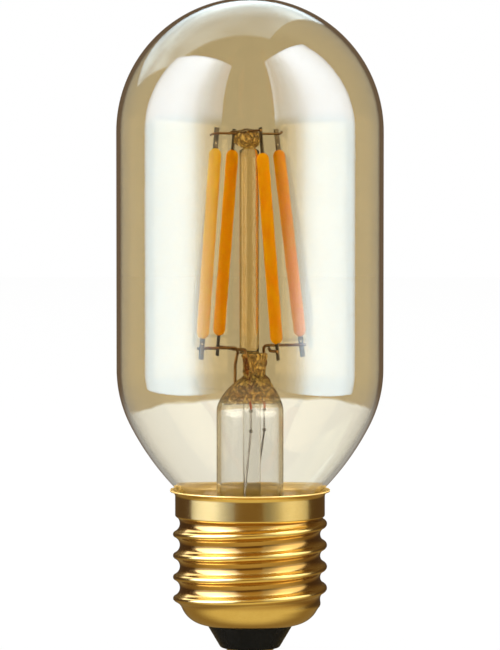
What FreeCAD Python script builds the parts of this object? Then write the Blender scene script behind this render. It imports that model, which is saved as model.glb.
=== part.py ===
# Tubular filament lamp with a screw cap. Millimetres, +Z up towards the dome.
# The origin is the middle of the lowest face, the underside of the centre contact.
import FreeCAD
import Part
import Sketcher
import math
import os
from FreeCAD import Placement, Rotation, Vector

# Driving sizes: name, value and what it sets.
SIZES = [
    ("overall_height", 110.0, "from the contact's underside to the top of the dome"),
    ("bulb_radius", 22.5, "outside of the straight glass tube and of the dome"),
    ("glass_wall", 0.7, "wall of the bulb"),
    ("shoulder_radius", 20.7, "first arc of the shoulder"),
    ("shoulder_angle", 27.0, "degrees turned by that arc"),
    ("taper_radius", 45.0, "long arc from the shoulder towards the neck"),
    ("neck_bend", 3.0, "reverse bend into the neck"),
    ("bend_clearance", 0.5, "lower end of that bend above the cement"),
    ("neck_end", 18.5, "height of the seal at the end of the neck"),
    ("stem_radius", 5.65, "outside of the stem tube"),
    ("stem_wall", 0.65, "wall of the stem tube"),
    ("flare_bend", 4.0, "bend of the flare out to the neck"),
    ("barrel_length", 22.0, "from the seal to the start of the stem's shoulder"),
    ("ceiling_rise", 3.1, "top of the bore above the barrel's end"),
    ("ceiling_half_width", 3.6, "bore's end, along the press"),
    ("ceiling_half_depth", 2.6, "bore's end, across the press"),
    ("crown_rise", 4.4, "middle section of the stem's shoulder above the barrel's end"),
    ("crown_half_width", 4.7, "that section along the press"),
    ("crown_half_depth", 3.35, "that section across the press"),
    ("crown_shift", 0.1, "its offset towards +X"),
    ("press_rise", 6.1, "foot of the press above the barrel's end"),
    ("press_height", 3.6, "height of the press"),
    ("press_foot_half_width", 3.0, "foot of the press along its wide way"),
    ("press_foot_half_depth", 1.2, "foot of the press across"),
    ("press_top_half_width", 3.4, "top of the press along its wide way"),
    ("press_top_half_depth", 1.5, "top of the press across"),
    ("press_angle", 60.0, "degrees between the press's wide way and +X"),
    ("press_shift", 0.8, "offset of the press towards +X"),
    ("press_round", 0.3, "rounding of the press's top edge"),
    ("exhaust_radius", 1.5, "outside of the exhaust tube"),
    ("exhaust_wall", 0.5, "its wall"),
    ("exhaust_tip_bend", 1.2, "rounding of its sealed tip"),
    ("exhaust_tip_wall", 1.5, "glass in the tip's middle"),
    ("exhaust_tip_edge", 2.25, "glass in the tip beside the bore"),
    ("exhaust_shift", 0.3, "its offset towards +X"),
    ("exhaust_overhang", 6.0, "its sealed tip below the end of the neck"),
    ("pillar_radius", 1.65, "glass pillar"),
    ("pillar_shift", -0.12, "its offset along X"),
    ("pillar_foot", 0.14, "how far its melted foot stands out and up"),
    ("button_half_width", 2.3, "button on the pillar"),
    ("button_half_height", 1.72, "half its height"),
    ("button_shift", -0.48, "its offset along X"),
    ("button_drop", 0.85, "its middle below the top wires"),
    ("coat_radius", 1.03, "phosphor coat of a filament"),
    ("coat_length", 32.0, "its length"),
    ("coat_end_bend", 0.93, "rounding of its ends"),
    ("coat_slip", 0.75, "how far the coat of filament c sits low on its strip"),
    ("strip_width", 0.8, "strip under the coat"),
    ("strip_thickness", 0.35, "its thickness"),
    ("strip_inset", 1.3, "strip's end inside the coat's end"),
    ("chip_length", 0.7, "light-giving chip"),
    ("chip_width", 0.4, "its width"),
    ("chip_height", 0.15, "its height"),
    ("chip_count", 20, "chips on a strip"),
    ("tab_width", 0.85, "end tab of a filament"),
    ("tab_thickness", 0.2, "its thickness"),
    ("tab_reach", 3.5, "tab outside the coat"),
    ("tab_lap", 2.4, "tab on the strip, inside the coat"),
    ("tab_hole", 0.18, "radius of the hole in a tab"),
    ("tab_hole_place", 0.875, "middle of that hole outside the coat"),
    ("head_circle", 5.84, "radius on which the heads of the coats stand"),
    ("head_angle", 25.0, "degrees that the heads are turned from +X"),
    ("head_shift", -0.48, "offset of the head circle along X"),
    ("foot_circle", 9.6, "radius on which the feet of the coats stand"),
    ("foot_angle", 30.6, "degrees that the feet are turned from +X"),
    ("outer_pair_shift", 0.34, "offset of the feet of filaments a and d along X"),
    ("inner_pair_shift", -0.5, "offset of the feet of filaments b and c along X"),
    ("foot_rise", 0.75, "lower arm above the press, at its filament"),
    ("foot_weld", 1.95, "arm below the coat's end"),
    ("head_weld", 2.5, "top wire above the coat's end"),
    ("weld_gap", 0.03, "clearance between a wire and a tab or a second wire"),
    ("top_wire_radius", 0.2, "support wires in the button"),
    ("top_wire_reach", 1.3, "their ends past the tabs"),
    ("top_wire_droop", 0.33, "how far the left ends hang"),
    ("top_wire_curl", 0.39, "how far the end of the outer one turns up"),
    ("arm_radius", 0.25, "inner leads and their branches"),
    ("arm_end_length", 0.6, "their ends past the tabs"),
    ("arm_bend", 0.8, "their bends"),
    ("arm_approach", 1.8, "straight run of a wire before its tab"),
    ("arm_clearance", 1.0, "left lead beside the pillar, centre to surface"),
    ("branch_offset", 0.42, "left branch beside the left lead, centre to centre"),
    ("branch_rise", 0.32, "left branch above the left lead"),
    ("branch_share", 0.2, "part of the right lead's run before its branch"),
    ("seal_wire_radius", 0.2, "wires sealed in the press"),
    ("seal_wire_tail", 2.6, "these wires below the bore's end"),
    ("lead_top_span", 5.0, "distance between the leads on top of the press"),
    ("lead_top_angle", 52.0, "degrees from +X to the line through them"),
    ("lead_foot_span", 4.6, "distance between the seal wires' lower ends"),
    ("lead_foot_angle", 59.5, "degrees from +X to the line through them"),
    ("lead_foot_shift", 1.3, "offset of their middle towards +X"),
    ("root_x", -2.5, "left branch wire's root in the stem's shoulder"),
    ("root_y", -1.6, "the same, front to back"),
    ("root_depth", 1.6, "root below the foot of the press"),
    ("outer_lead_radius", 0.175, "thin leads down to the board"),
    ("bead_radius", 0.33, "weld beads on them"),
    ("bead_drop", 3.8, "lower bead below the upper one"),
    ("lead_fan", 0.75, "part of the way to its hole that a lead has gone at the rim"),
    ("lead_upright", 4.5, "upright run of the leads over the board's underside"),
    ("lead_bend", 6.0, "bends of the leads"),
    ("rim_height", 27.2, "top of the shell's lip"),
    ("lip_flare", 0.85, "lip outside the skirt"),
    ("skirt_step", 0.375, "skirt inside the crests"),
    ("skirt_end", 22.9, "lower end of the plain skirt"),
    ("crest_radius", 13.025, "crests of the screw thread"),
    ("thread_depth", 1.15, "from crest to root"),
    ("thread_pitch", 3.629, "rise in one turn, right-hand"),
    ("crest_height", 14.2, "height of a crest at +X"),
    ("crest_round", 0.55, "rounding of the crests"),
    ("thread_foot", 7.0, "height where the thread has run out"),
    ("thread_fade", 1.41, "height in which it runs out"),
    ("shell_wall", 0.28, "sheet of the shell"),
    ("shell_foot", 4.45, "lower edge of the shell"),
    ("bowl_bend", 4.5, "bend of the bowl under the thread"),
    ("seat_gap", 0.04, "clearance between the cap's pieces"),
    ("cement_thickness", 0.5, "cement between the neck and the thread"),
    ("cement_top", 24.2, "upper edge of the cement"),
    ("insulator_top", 6.8, "flat inside the shell that carries the board"),
    ("insulator_tip", 0.5, "height of the insulator's lower face"),
    ("insulator_tip_radius", 5.0, "radius there, before the edge is rounded"),
    ("insulator_tip_bend", 0.4, "rounding of that edge"),
    ("insulator_bore", 1.1, "radius of the wire's way through it"),
    ("contact_radius", 4.2, "centre contact"),
    ("contact_sheet", 0.5, "its sheet"),
    ("contact_eye", 0.9, "radius of its solder hole"),
    ("solder_recess", 0.12, "solder above the contact's lowest face"),
    ("board_radius", 9.4, "driver board"),
    ("board_thickness", 1.0, "its thickness"),
    ("pad_hole", 0.4, "radius of its wire holes"),
    ("lead_pad_radius", 3.4, "distance of the lead holes from the axis"),
    ("left_pad_angle", -110.0, "degrees from +X to the left lead's hole"),
    ("right_pad_angle", 80.0, "degrees from +X to the right lead's hole"),
    ("shell_pad_radius", 8.2, "distance of the shell wire's hole"),
    ("shell_pad_angle", 90.0, "degrees from +X to it"),
    ("capacitor_radius", 3.15, "smoothing capacitor"),
    ("capacitor_height", 8.6, "its height"),
    ("capacitor_pitch", 2.5, "distance between its two legs"),
    ("capacitor_margin", 1.0, "it stands inside the board's edge"),
    ("capacitor_angle", 170.0, "degrees from +X to it"),
    ("can_bend", 0.4, "rounding of the can"),
    ("groove_rise", 1.3, "crimped groove above the can's foot"),
    ("groove_half_width", 0.3, "half the groove's height"),
    ("groove_depth", 0.25, "its depth"),
    ("rectifier_length", 4.7, "rectifier's body"),
    ("rectifier_depth", 3.9, "its depth"),
    ("rectifier_height", 2.3, "its height"),
    ("rectifier_place", 5.17, "its distance from the axis"),
    ("rectifier_angle", 32.0, "degrees from +X to it"),
    ("chip_body_length", 4.9, "driver chip's body"),
    ("chip_body_depth", 3.7, "its depth"),
    ("chip_body_height", 1.5, "its height"),
    ("chip_body_place", 5.26, "its distance from the axis"),
    ("chip_body_angle", -42.0, "degrees from +X to it"),
    ("leg_sheet", 0.22, "sheet of the legs of both"),
    ("leg_length", 1.0, "legs outside the bodies"),
    ("resistor_radius", 0.9, "fuse resistor's ends"),
    ("resistor_length", 4.6, "its length"),
    ("resistor_bend", 0.36, "rounding of its ends"),
    ("resistor_end_length", 1.0, "each thick end"),
    ("resistor_slope_length", 0.37, "slope from an end to the waist"),
    ("resistor_waist_radius", 0.72, "waist between the ends"),
    ("resistor_place", 6.2, "its distance from the axis"),
    ("resistor_angle", -125.0, "degrees from +X to it"),
    ("hookup_radius", 0.25, "wires and legs under the neck"),
    ("hookup_bend", 1.5, "bends of the wire to the shell"),
]

AROUND = 36  # poles around the shell
POLE_STEP = 0.3  # distance between its rows of poles
SAME_HEIGHT = 1e-4  # an edge within this of a height lies on it
STRAIGHT_ON = 1e-3  # half turns smaller than this need no bend
VOLUME_SLACK = 0.02  # share by which a swept or drilled volume may miss its formula

doc = FreeCAD.newDocument("tubular_lamp")
sheet = doc.addObject("Spreadsheet::Sheet", "Dim")
for row, (alias, number, note) in enumerate(SIZES, start=1):
    sheet.set("A%d" % row, alias)
    sheet.set("B%d" % row, str(number))
    sheet.set("C%d" % row, note)
    sheet.setAlias("B%d" % row, alias)
doc.recompute()

ROOT = "(Dim.crest_radius - Dim.thread_depth)"
SKIRT = "(Dim.crest_radius - Dim.skirt_step)"
HOLE = "(" + ROOT + " - Dim.bowl_bend)"
BOWL_TOP = "(Dim.shell_foot + Dim.bowl_bend)"
NECK = "(" + ROOT + " - Dim.shell_wall - Dim.cement_thickness)"
NECK_BORE = "(" + NECK + " - Dim.glass_wall)"
BEND_FOOT = "(Dim.cement_top + Dim.bend_clearance)"
BARREL_END = "(Dim.neck_end + Dim.barrel_length)"
CEILING = "(" + BARREL_END + " + Dim.ceiling_rise)"
PRESS_FOOT = "(" + BARREL_END + " + Dim.press_rise)"
PRESS_TOP = "(" + PRESS_FOOT + " + Dim.press_height)"
BOARD_TOP = "(Dim.insulator_top + Dim.board_thickness)"


def value(expression):
    """Number that an expression of the sheet's cells gives."""
    return float(sheet.evalExpression(expression))


def size(alias):
    """Number in one named cell."""
    return float(getattr(sheet, alias))


def polar(radius, degrees, height=0.0):
    """Point at a radius, an angle from +X and a height."""
    angle = math.radians(degrees)
    return Vector(radius * math.cos(angle), radius * math.sin(angle), height)


def new_body(label):
    body = doc.addObject("PartDesign::Body", label)
    body.Label = label
    return body


def new_sketch(body, name, role, height=None):
    """Sketch on an origin plane of its body, raised by an expression where one is given."""
    sketch = body.newObject("Sketcher::SketchObject", name)
    for feature in body.Origin.OriginFeatures:
        if feature.Role == role:
            sketch.AttachmentSupport = [(feature, "")]
    sketch.MapMode = "FlatFace"
    if height:
        sketch.setExpression("AttachmentOffset.Base.z", height)
    return sketch


def tie(sketch, kind, expression, *elements):
    """Dimension of a sketch that follows an expression of the sheet."""
    number = value(expression)
    if kind == "Angle":
        number = math.radians(number)
        expression = "(" + expression + ") * 1 deg"
    index = sketch.addConstraint(Sketcher.Constraint(kind, *elements, number))
    sketch.setExpression("Constraints[%d]" % index, expression)


def place_point(sketch, element, point, across, up):
    """Holds a point of a sketch at two expressions, or on an axis where one of them is nought."""
    if abs(value(across)) < 1e-9:
        sketch.addConstraint(Sketcher.Constraint("PointOnObject", element, point, -2))
    else:
        tie(sketch, "DistanceX", across, -1, 1, element, point)
    if abs(value(up)) < 1e-9:
        sketch.addConstraint(Sketcher.Constraint("PointOnObject", element, point, -1))
    else:
        tie(sketch, "DistanceY", up, -1, 1, element, point)


def outline(sketch, corners):
    """Closed outline of straight edges. A corner with a third entry is rounded to that radius."""
    points = [Vector(value(corner[0]), value(corner[1]), 0) for corner in corners]
    stops = []
    starts = []
    for index, corner in enumerate(corners):
        here = points[index]
        before = (points[index - 1] - here).normalize()
        after = (points[(index + 1) % len(points)] - here).normalize()
        reach = 0.0
        if len(corner) == 3:
            reach = value(corner[2]) / math.tan(before.getAngle(after) / 2)
        stops.append(here + before * reach)
        starts.append(here + after * reach)
    edges = []
    for index, start in enumerate(starts):
        stop = stops[(index + 1) % len(points)]
        edges.append(sketch.addGeometry(Part.LineSegment(start, stop), False))
    for index, corner in enumerate(corners):
        entering = edges[index - 1]
        leaving = edges[index]
        if len(corner) == 2:
            sketch.addConstraint(Sketcher.Constraint("Coincident", entering, 2, leaving, 1))
            place_point(sketch, leaving, 1, corner[0], corner[1])
            continue
        round_corner(sketch, entering, leaving, points[index], stops[index], starts[index], corner)


def round_corner(sketch, entering, leaving, here, first, second, corner):
    """Arc between two edges, with the sharp corner kept as a construction point."""
    radius = value(corner[2])
    middle = (first + second) * 0.5
    bisector = (middle - here).normalize()
    distance = math.hypot(radius, (first - here).Length)
    centre = here + bisector * distance
    angles = [math.atan2(end.y - centre.y, end.x - centre.x) for end in (first, second)]
    sweep = (angles[1] - angles[0]) % (2 * math.pi)
    order = (1, 2) if sweep < math.pi else (2, 1)
    low = angles[0] if sweep < math.pi else angles[1]
    span = sweep if sweep < math.pi else 2 * math.pi - sweep
    circle = Part.Circle(centre, Vector(0, 0, 1), radius)
    arc = sketch.addGeometry(Part.ArcOfCircle(circle, low, low + span), False)
    sketch.addConstraint(Sketcher.Constraint("Tangent", entering, 2, arc, order[0]))
    sketch.addConstraint(Sketcher.Constraint("Tangent", leaving, 1, arc, order[1]))
    tie(sketch, "Radius", corner[2], arc)
    point = sketch.addGeometry(Part.Point(here), True)
    sketch.addConstraint(Sketcher.Constraint("PointOnObject", point, 1, entering))
    sketch.addConstraint(Sketcher.Constraint("PointOnObject", point, 1, leaving))
    place_point(sketch, point, 1, corner[0], corner[1])


def circle_in(sketch, radius, across="0", up="0"):
    centre = Vector(value(across), value(up), 0)
    circle = sketch.addGeometry(Part.Circle(centre, Vector(0, 0, 1), value(radius)), False)
    tie(sketch, "Radius", radius, circle)
    place_point(sketch, circle, 3, across, up)


def revolve(body, sketch):
    feature = body.newObject("PartDesign::Revolution", sketch.Name + "_turn")
    feature.Profile = sketch
    feature.ReferenceAxis = (sketch, ["V_Axis"])
    feature.Angle = 360
    body.Tip = feature
    return feature


def pad(body, sketch, length):
    feature = body.newObject("PartDesign::Pad", sketch.Name + "_pad")
    feature.Profile = sketch
    feature.setExpression("Length", length)
    body.Tip = feature
    return feature


def turned(label, corners, shift=None):
    """Piece turned about the upright axis from an outline of radius and height."""
    body = new_body(label)
    sketch = new_sketch(body, label + "_section", "XZ_Plane")
    outline(sketch, corners)
    revolve(body, sketch)
    if shift:
        body.setExpression(".Placement.Base.x", shift)
    return body


def cut(label, base, tools):
    """Base less each of the tools. The last cut carries the label."""
    for index, tool in enumerate(tools):
        feature = doc.addObject("Part::Cut", "%s_cut_%d" % (label, index))
        feature.Base = base
        feature.Tool = tool
        base = feature
    base.Label = label
    return base


def fuse(label, shapes):
    feature = doc.addObject("Part::MultiFuse", label)
    feature.Shapes = shapes
    feature.Label = label
    return feature


def rims_at(shape, height, beyond=0.0):
    """Names of the edges that lie flat at a height and reach more than a distance along X."""
    names = []
    for index, edge in enumerate(shape.Edges, start=1):
        box = edge.BoundBox
        level = abs(box.ZMin - height) < SAME_HEIGHT and abs(box.ZMax - height) < SAME_HEIGHT
        if level and max(-box.XMin, box.XMax) > beyond + SAME_HEIGHT:
            names.append("Edge%d" % index)
    return names


def bulb_skin(sketch, inset):
    """One skin of the bulb from the top of the dome to the end of the neck, moved in by inset."""
    top = size("overall_height") - size("bulb_radius")
    inward = value(inset)
    turn = math.radians(size("shoulder_angle"))
    neck = value(NECK)
    third = Vector(neck + size("neck_bend"), value(BEND_FOOT), 0)
    growth = Vector(-math.cos(turn), math.sin(turn), 0) * (size("taper_radius") - size("shoulder_radius"))
    reach = size("taper_radius") + size("neck_bend")
    sideways = third.x - (size("bulb_radius") - size("shoulder_radius")) - growth.x
    second = third + Vector(-sideways, math.sqrt(reach ** 2 - sideways ** 2), 0)
    first = second - growth
    slope = math.asin((second.y - third.y) / reach)
    up = Vector(0, 0, 1)

    def arc(centre, radius, low, high):
        return sketch.addGeometry(Part.ArcOfCircle(Part.Circle(centre, up, radius), low, high), False)

    wide = size("bulb_radius") - inward
    dome = arc(Vector(0, top, 0), wide, 0, math.pi / 2)
    wall_line = Part.LineSegment(Vector(wide, top, 0), Vector(wide, first.y, 0))
    wall = sketch.addGeometry(wall_line, False)
    shoulder = arc(first, size("shoulder_radius") - inward, -turn, 0)
    taper = arc(second, size("taper_radius") - inward, -slope, -turn)
    bend = arc(third, size("neck_bend") + inward, math.pi - slope, math.pi)
    narrow = neck - inward
    neck_line = Part.LineSegment(Vector(narrow, third.y, 0), Vector(narrow, size("neck_end"), 0))
    tube = sketch.addGeometry(neck_line, False)

    sketch.addConstraint(Sketcher.Constraint("PointOnObject", dome, 3, -2))
    sketch.addConstraint(Sketcher.Constraint("PointOnObject", dome, 2, -2))
    tie(sketch, "DistanceY", "Dim.overall_height - Dim.bulb_radius", -1, 1, dome, 3)
    tie(sketch, "Radius", "Dim.bulb_radius - " + inset, dome)
    sketch.addConstraint(Sketcher.Constraint("Tangent", dome, 1, wall, 1))
    sketch.addConstraint(Sketcher.Constraint("Vertical", wall))
    sketch.addConstraint(Sketcher.Constraint("Tangent", wall, 2, shoulder, 2))
    tie(sketch, "Radius", "Dim.shoulder_radius - " + inset, shoulder)
    tie(sketch, "Angle", "Dim.shoulder_angle", shoulder)
    sketch.addConstraint(Sketcher.Constraint("Tangent", shoulder, 1, taper, 2))
    tie(sketch, "Radius", "Dim.taper_radius - " + inset, taper)
    sketch.addConstraint(Sketcher.Constraint("Tangent", taper, 1, bend, 1))
    tie(sketch, "Radius", "Dim.neck_bend + " + inset, bend)
    tie(sketch, "DistanceY", BEND_FOOT, -1, 1, bend, 3)
    sketch.addConstraint(Sketcher.Constraint("Tangent", bend, 2, tube, 1))
    sketch.addConstraint(Sketcher.Constraint("Vertical", tube))
    tie(sketch, "DistanceX", NECK + " - " + inset, -1, 1, tube, 1)
    tie(sketch, "DistanceY", "Dim.neck_end", -1, 1, tube, 2)
    return dome, tube


def glass_envelope():
    """Blown bulb: dome, straight tube, shoulder, taper and neck, revolved as one wall."""
    body = new_body("glass_envelope")
    sketch = new_sketch(body, "bulb_section", "XZ_Plane")
    outer_dome, outer_neck = bulb_skin(sketch, "0 * Dim.glass_wall")
    inner_dome, inner_neck = bulb_skin(sketch, "Dim.glass_wall")
    tops = [value("Dim.overall_height"), value("Dim.overall_height - Dim.glass_wall")]
    axis = sketch.addGeometry(Part.LineSegment(Vector(0, tops[0], 0), Vector(0, tops[1], 0)), False)
    sketch.addConstraint(Sketcher.Constraint("Coincident", axis, 1, outer_dome, 2))
    sketch.addConstraint(Sketcher.Constraint("Coincident", axis, 2, inner_dome, 2))
    ends = [Vector(value(NECK), size("neck_end"), 0), Vector(value(NECK_BORE), size("neck_end"), 0)]
    rim = sketch.addGeometry(Part.LineSegment(ends[0], ends[1]), False)
    sketch.addConstraint(Sketcher.Constraint("Coincident", rim, 1, outer_neck, 2))
    sketch.addConstraint(Sketcher.Constraint("Coincident", rim, 2, inner_neck, 2))
    revolve(body, sketch)
    return body


def oval_section(body, name, height, half_width, half_depth, shift):
    """Ellipse across the stem, its wide way turned with the press."""
    sketch = new_sketch(body, name, "XY_Plane", height)
    sketch.setExpression("AttachmentOffset.Base.x", shift)
    turn = polar(1, size("press_angle"))
    across = polar(1, size("press_angle") + 90)
    wide = turn * value(half_width)
    deep = across * value(half_depth)
    ellipse = sketch.addGeometry(Part.Ellipse(wide, deep, Vector(0, 0, 0)), False)
    sketch.exposeInternalGeometry(ellipse)
    major, minor = ellipse + 1, ellipse + 2
    sketch.addConstraint(Sketcher.Constraint("Coincident", ellipse, 3, -1, 1))
    tie(sketch, "Distance", "2 * (" + half_width + ")", major)
    tie(sketch, "Distance", "2 * (" + half_depth + ")", minor)
    turn_constraint = Sketcher.Constraint("Angle", -1, 1, major, 1, math.radians(size("press_angle")))
    index = sketch.addConstraint(turn_constraint)
    sketch.setExpression("Constraints[%d]" % index, "Dim.press_angle * 1 deg")
    return sketch


def stem_blank():
    """Flared tube whose upper end is drawn in to the press: a turned barrel and two lofts."""
    body = new_body("stem_blank")
    flange = "(Dim.neck_end + Dim.stem_wall)"
    bore = "(Dim.stem_radius - Dim.stem_wall)"
    section = new_sketch(body, "barrel_section", "XZ_Plane")
    outline(section, [
        (bore, BARREL_END),
        ("Dim.stem_radius", BARREL_END),
        ("Dim.stem_radius", flange, "Dim.flare_bend"),
        (NECK_BORE, flange),
        (NECK_BORE, "Dim.neck_end"),
        (bore, "Dim.neck_end", "Dim.flare_bend + Dim.stem_wall"),
    ])
    revolve(body, section)
    base = new_sketch(body, "shoulder_base", "XY_Plane", BARREL_END)
    circle_in(base, "Dim.stem_radius")
    crown_height = BARREL_END + " + Dim.crown_rise"
    crown = oval_section(body, "shoulder_crown", crown_height, "Dim.crown_half_width",
                         "Dim.crown_half_depth", "Dim.crown_shift")
    foot = oval_section(body, "press_foot", PRESS_FOOT, "Dim.press_foot_half_width",
                        "Dim.press_foot_half_depth", "Dim.press_shift")
    shoulder = body.newObject("PartDesign::AdditiveLoft", "shoulder")
    shoulder.Profile = base
    shoulder.Sections = [crown, foot]
    body.Tip = shoulder
    head = oval_section(body, "press_head", PRESS_TOP, "Dim.press_top_half_width",
                        "Dim.press_top_half_depth", "Dim.press_shift")
    press = body.newObject("PartDesign::AdditiveLoft", "press")
    press.Profile = foot
    press.Sections = [head]
    body.Tip = press
    mouth = new_sketch(body, "bore_mouth", "XY_Plane", BARREL_END)
    circle_in(mouth, bore)
    ceiling = oval_section(body, "bore_ceiling", CEILING, "Dim.ceiling_half_width",
                           "Dim.ceiling_half_depth", "0 * Dim.crown_shift")
    doc.recompute()
    solid_volume = press.Shape.Volume
    cavity = body.newObject("PartDesign::SubtractiveLoft", "bore_end")
    cavity.Profile = mouth
    cavity.Sections = [ceiling]
    body.Tip = cavity
    doc.recompute()
    if cavity.Shape.Volume > solid_volume - 1:
        raise RuntimeError("the bore's end cuts nothing")
    rims = rims_at(cavity.Shape, value(PRESS_TOP))
    rounding = body.newObject("PartDesign::Fillet", "press_rim")
    rounding.Base = (cavity, rims)
    rounding.setExpression("Radius", "Dim.press_round")
    body.Tip = rounding
    return body


def exhaust_tube():
    """Thin tube from the bore's end down into the cap, with a melted round tip."""
    inner = "(Dim.exhaust_radius - Dim.exhaust_wall)"
    tip = "(Dim.neck_end - Dim.exhaust_overhang)"
    return turned("exhaust_tube", [
        ("0 * Dim.neck_end", tip),
        ("Dim.exhaust_radius", tip, "Dim.exhaust_tip_bend"),
        ("Dim.exhaust_radius", CEILING),
        (inner, CEILING),
        (inner, tip + " + Dim.exhaust_tip_edge"),
        ("0 * Dim.neck_end", tip + " + Dim.exhaust_tip_wall"),
    ], "Dim.exhaust_shift")


class Filament:
    """Straight filament between a head point and a foot point, and the frame on its axis."""

    def __init__(self, name, side, pair_shift, slip):
        self.name = name
        self.slip = slip
        foot = polar(size("foot_circle"), size("foot_angle") + side)
        head = polar(size("head_circle"), size("head_angle") + side)
        foot.x += size(pair_shift)
        head.x += size("head_shift")
        lean = head - foot
        rise = math.sqrt(size("coat_length") ** 2 - lean.x ** 2 - lean.y ** 2)
        lean.z = rise
        foot.z = value(PRESS_TOP + " + Dim.foot_rise") + size("foot_weld") * rise / lean.Length
        self.along = Vector(lean).normalize()
        self.middle = foot + lean * 0.5
        radial = polar(1, side + (size("foot_angle") + size("head_angle")) / 2)
        self.across = self.along.cross(radial).normalize()
        self.outward = self.across.cross(self.along)
        turn = Rotation(self.outward, self.across, self.along, "ZXY")
        self.placement = Placement(self.middle, turn)

    def weld(self, distance, wire, side=-1):
        """Centre of a wire that lies on the tab's face at a distance along the axis."""
        offset = size("tab_thickness") / 2 + size(wire) + size("weld_gap")
        return self.middle + self.along * distance + self.across * (side * offset)

    def at_height(self, height):
        """Distance along the axis at which it passes a height."""
        return (height - self.middle.z) / self.along.z


def place(feature, filament, start):
    """Puts a piece that is built about its own corner on a filament's axis."""
    feature.Placement = filament.placement.multiply(Placement(start, Rotation()))


def slab(label, width, thickness, length):
    box = doc.addObject("Part::Box", label)
    box.Label = label
    box.setExpression("Length", width)
    box.setExpression("Width", thickness)
    box.setExpression("Height", length)
    return box


def strip_back():
    """Face of the strip that lies on the tabs."""
    return size("tab_thickness") / 2


def filament_strip(filament):
    length = "Dim.coat_length - 2 * Dim.strip_inset"
    strip = slab("strip_" + filament.name, "Dim.strip_width", "Dim.strip_thickness", length)
    corner = Vector(-size("strip_width") / 2, strip_back(), -value(length) / 2)
    place(strip, filament, corner)
    return strip


def filament_tab(filament, end):
    """End tab, pierced just outside the coat. end is 1 at the head and -1 at the foot."""
    label = ("head_tab_" if end > 0 else "foot_tab_") + filament.name
    length = "Dim.tab_reach + Dim.tab_lap"
    blank = slab(label + "_blank", "Dim.tab_width", "Dim.tab_thickness", length)
    inner = size("coat_length") / 2 - size("tab_lap")
    low = inner if end > 0 else -inner - value(length)
    place(blank, filament, Vector(-size("tab_width") / 2, -size("tab_thickness") / 2, low))
    hole = doc.addObject("Part::Cylinder", label + "_hole")
    hole.setExpression("Radius", "Dim.tab_hole")
    hole.setExpression("Height", "4 * Dim.tab_thickness")
    outside = size("coat_length") / 2 + size("tab_hole_place")
    start = Vector(0, -2 * size("tab_thickness"), end * outside)
    across = Placement(start, Rotation(Vector(1, 0, 0), -90))
    hole.Placement = filament.placement.multiply(across)
    return cut(label, blank, [hole])


def filament_chips(filament):
    """Row of small dies on the strip, one pad repeated along it."""
    body = new_body("chips_" + filament.name)
    run = "(Dim.coat_length - 2 * Dim.strip_inset - 2 * Dim.tab_lap)"
    sketch = new_sketch(body, body.Name + "_die", "XZ_Plane", "-Dim.strip_thickness - Dim.tab_thickness / 2")
    half_run = run + " / 2"
    outline(sketch, [
        ("-Dim.chip_width / 2", "-" + half_run),
        ("Dim.chip_width / 2", "-" + half_run),
        ("Dim.chip_width / 2", "-" + half_run + " + Dim.chip_length"),
        ("-Dim.chip_width / 2", "-" + half_run + " + Dim.chip_length"),
    ])
    die = pad(body, sketch, "Dim.chip_height")
    die.Reversed = True
    row = body.newObject("PartDesign::LinearPattern", body.Name + "_row")
    row.Originals = [die]
    row.Direction = (sketch, ["V_Axis"])
    row.setExpression("Length", run + " - Dim.chip_length")
    row.setExpression("Occurrences", "Dim.chip_count")
    body.Tip = row
    body.Placement = filament.placement
    return body


def filament_coat(filament, inside):
    """Round coat with blunt round ends, moulded about what it covers."""
    label = "coat_" + filament.name
    half = "Dim.coat_length / 2"
    body = turned(label + "_blank", [
        ("0 * Dim.coat_radius", "-" + half),
        ("Dim.coat_radius", "-" + half, "Dim.coat_end_bend"),
        ("Dim.coat_radius", half, "Dim.coat_end_bend"),
        ("0 * Dim.coat_radius", half),
    ])
    place(body, filament, Vector(0, 0, -filament.slip))
    return cut(label, body, inside)


def rounded_path(points, bend):
    """Straight runs between the points, with a tangent arc at each point between them."""
    edges = []
    start = points[0]
    for before, here, after in zip(points, points[1:], points[2:]):
        entering = (here - before).normalize()
        leaving = (after - here).normalize()
        half_turn = entering.getAngle(leaving) / 2
        if half_turn < STRAIGHT_ON:
            continue
        room = 0.45 * min((here - before).Length, (after - here).Length)
        radius = min(bend, room / math.tan(half_turn))
        reach = radius * math.tan(half_turn)
        first = here - entering * reach
        second = here + leaving * reach
        centre = here + (leaving - entering).normalize() * (radius / math.cos(half_turn))
        middle = centre + (here - centre).normalize() * radius
        edges.append(Part.makeLine(start, first))
        edges.append(Part.Arc(first, middle, second).toShape())
        start = second
    edges.append(Part.makeLine(start, points[-1]))
    return Part.Wire(edges)


def bent_wire(label, points, radius, bend):
    """Round wire swept along straight runs and tangent arcs."""
    path = doc.addObject("Part::Feature", label + "_path")
    path.Shape = rounded_path([Vector(point) for point in points], bend)
    section = doc.addObject("Part::Circle", label + "_section")
    section.setExpression("Radius", radius)
    direction = (points[1] - points[0]).normalize()
    section.Placement = Placement(points[0], Rotation(Vector(0, 0, 1), direction))
    wire = doc.addObject("Part::Sweep", label)
    wire.Sections = [section]
    wire.Spine = (path, ["Edge%d" % (index + 1) for index in range(len(path.Shape.Edges))])
    wire.Solid = True
    wire.Frenet = False
    wire.Label = label
    doc.recompute()
    expected = math.pi * value(radius) ** 2 * path.Shape.Length
    if abs(wire.Shape.Volume - expected) > VOLUME_SLACK * expected:
        raise RuntimeError("%s has %.3f instead of %.3f mm3" % (label, wire.Shape.Volume, expected))
    return wire


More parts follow.
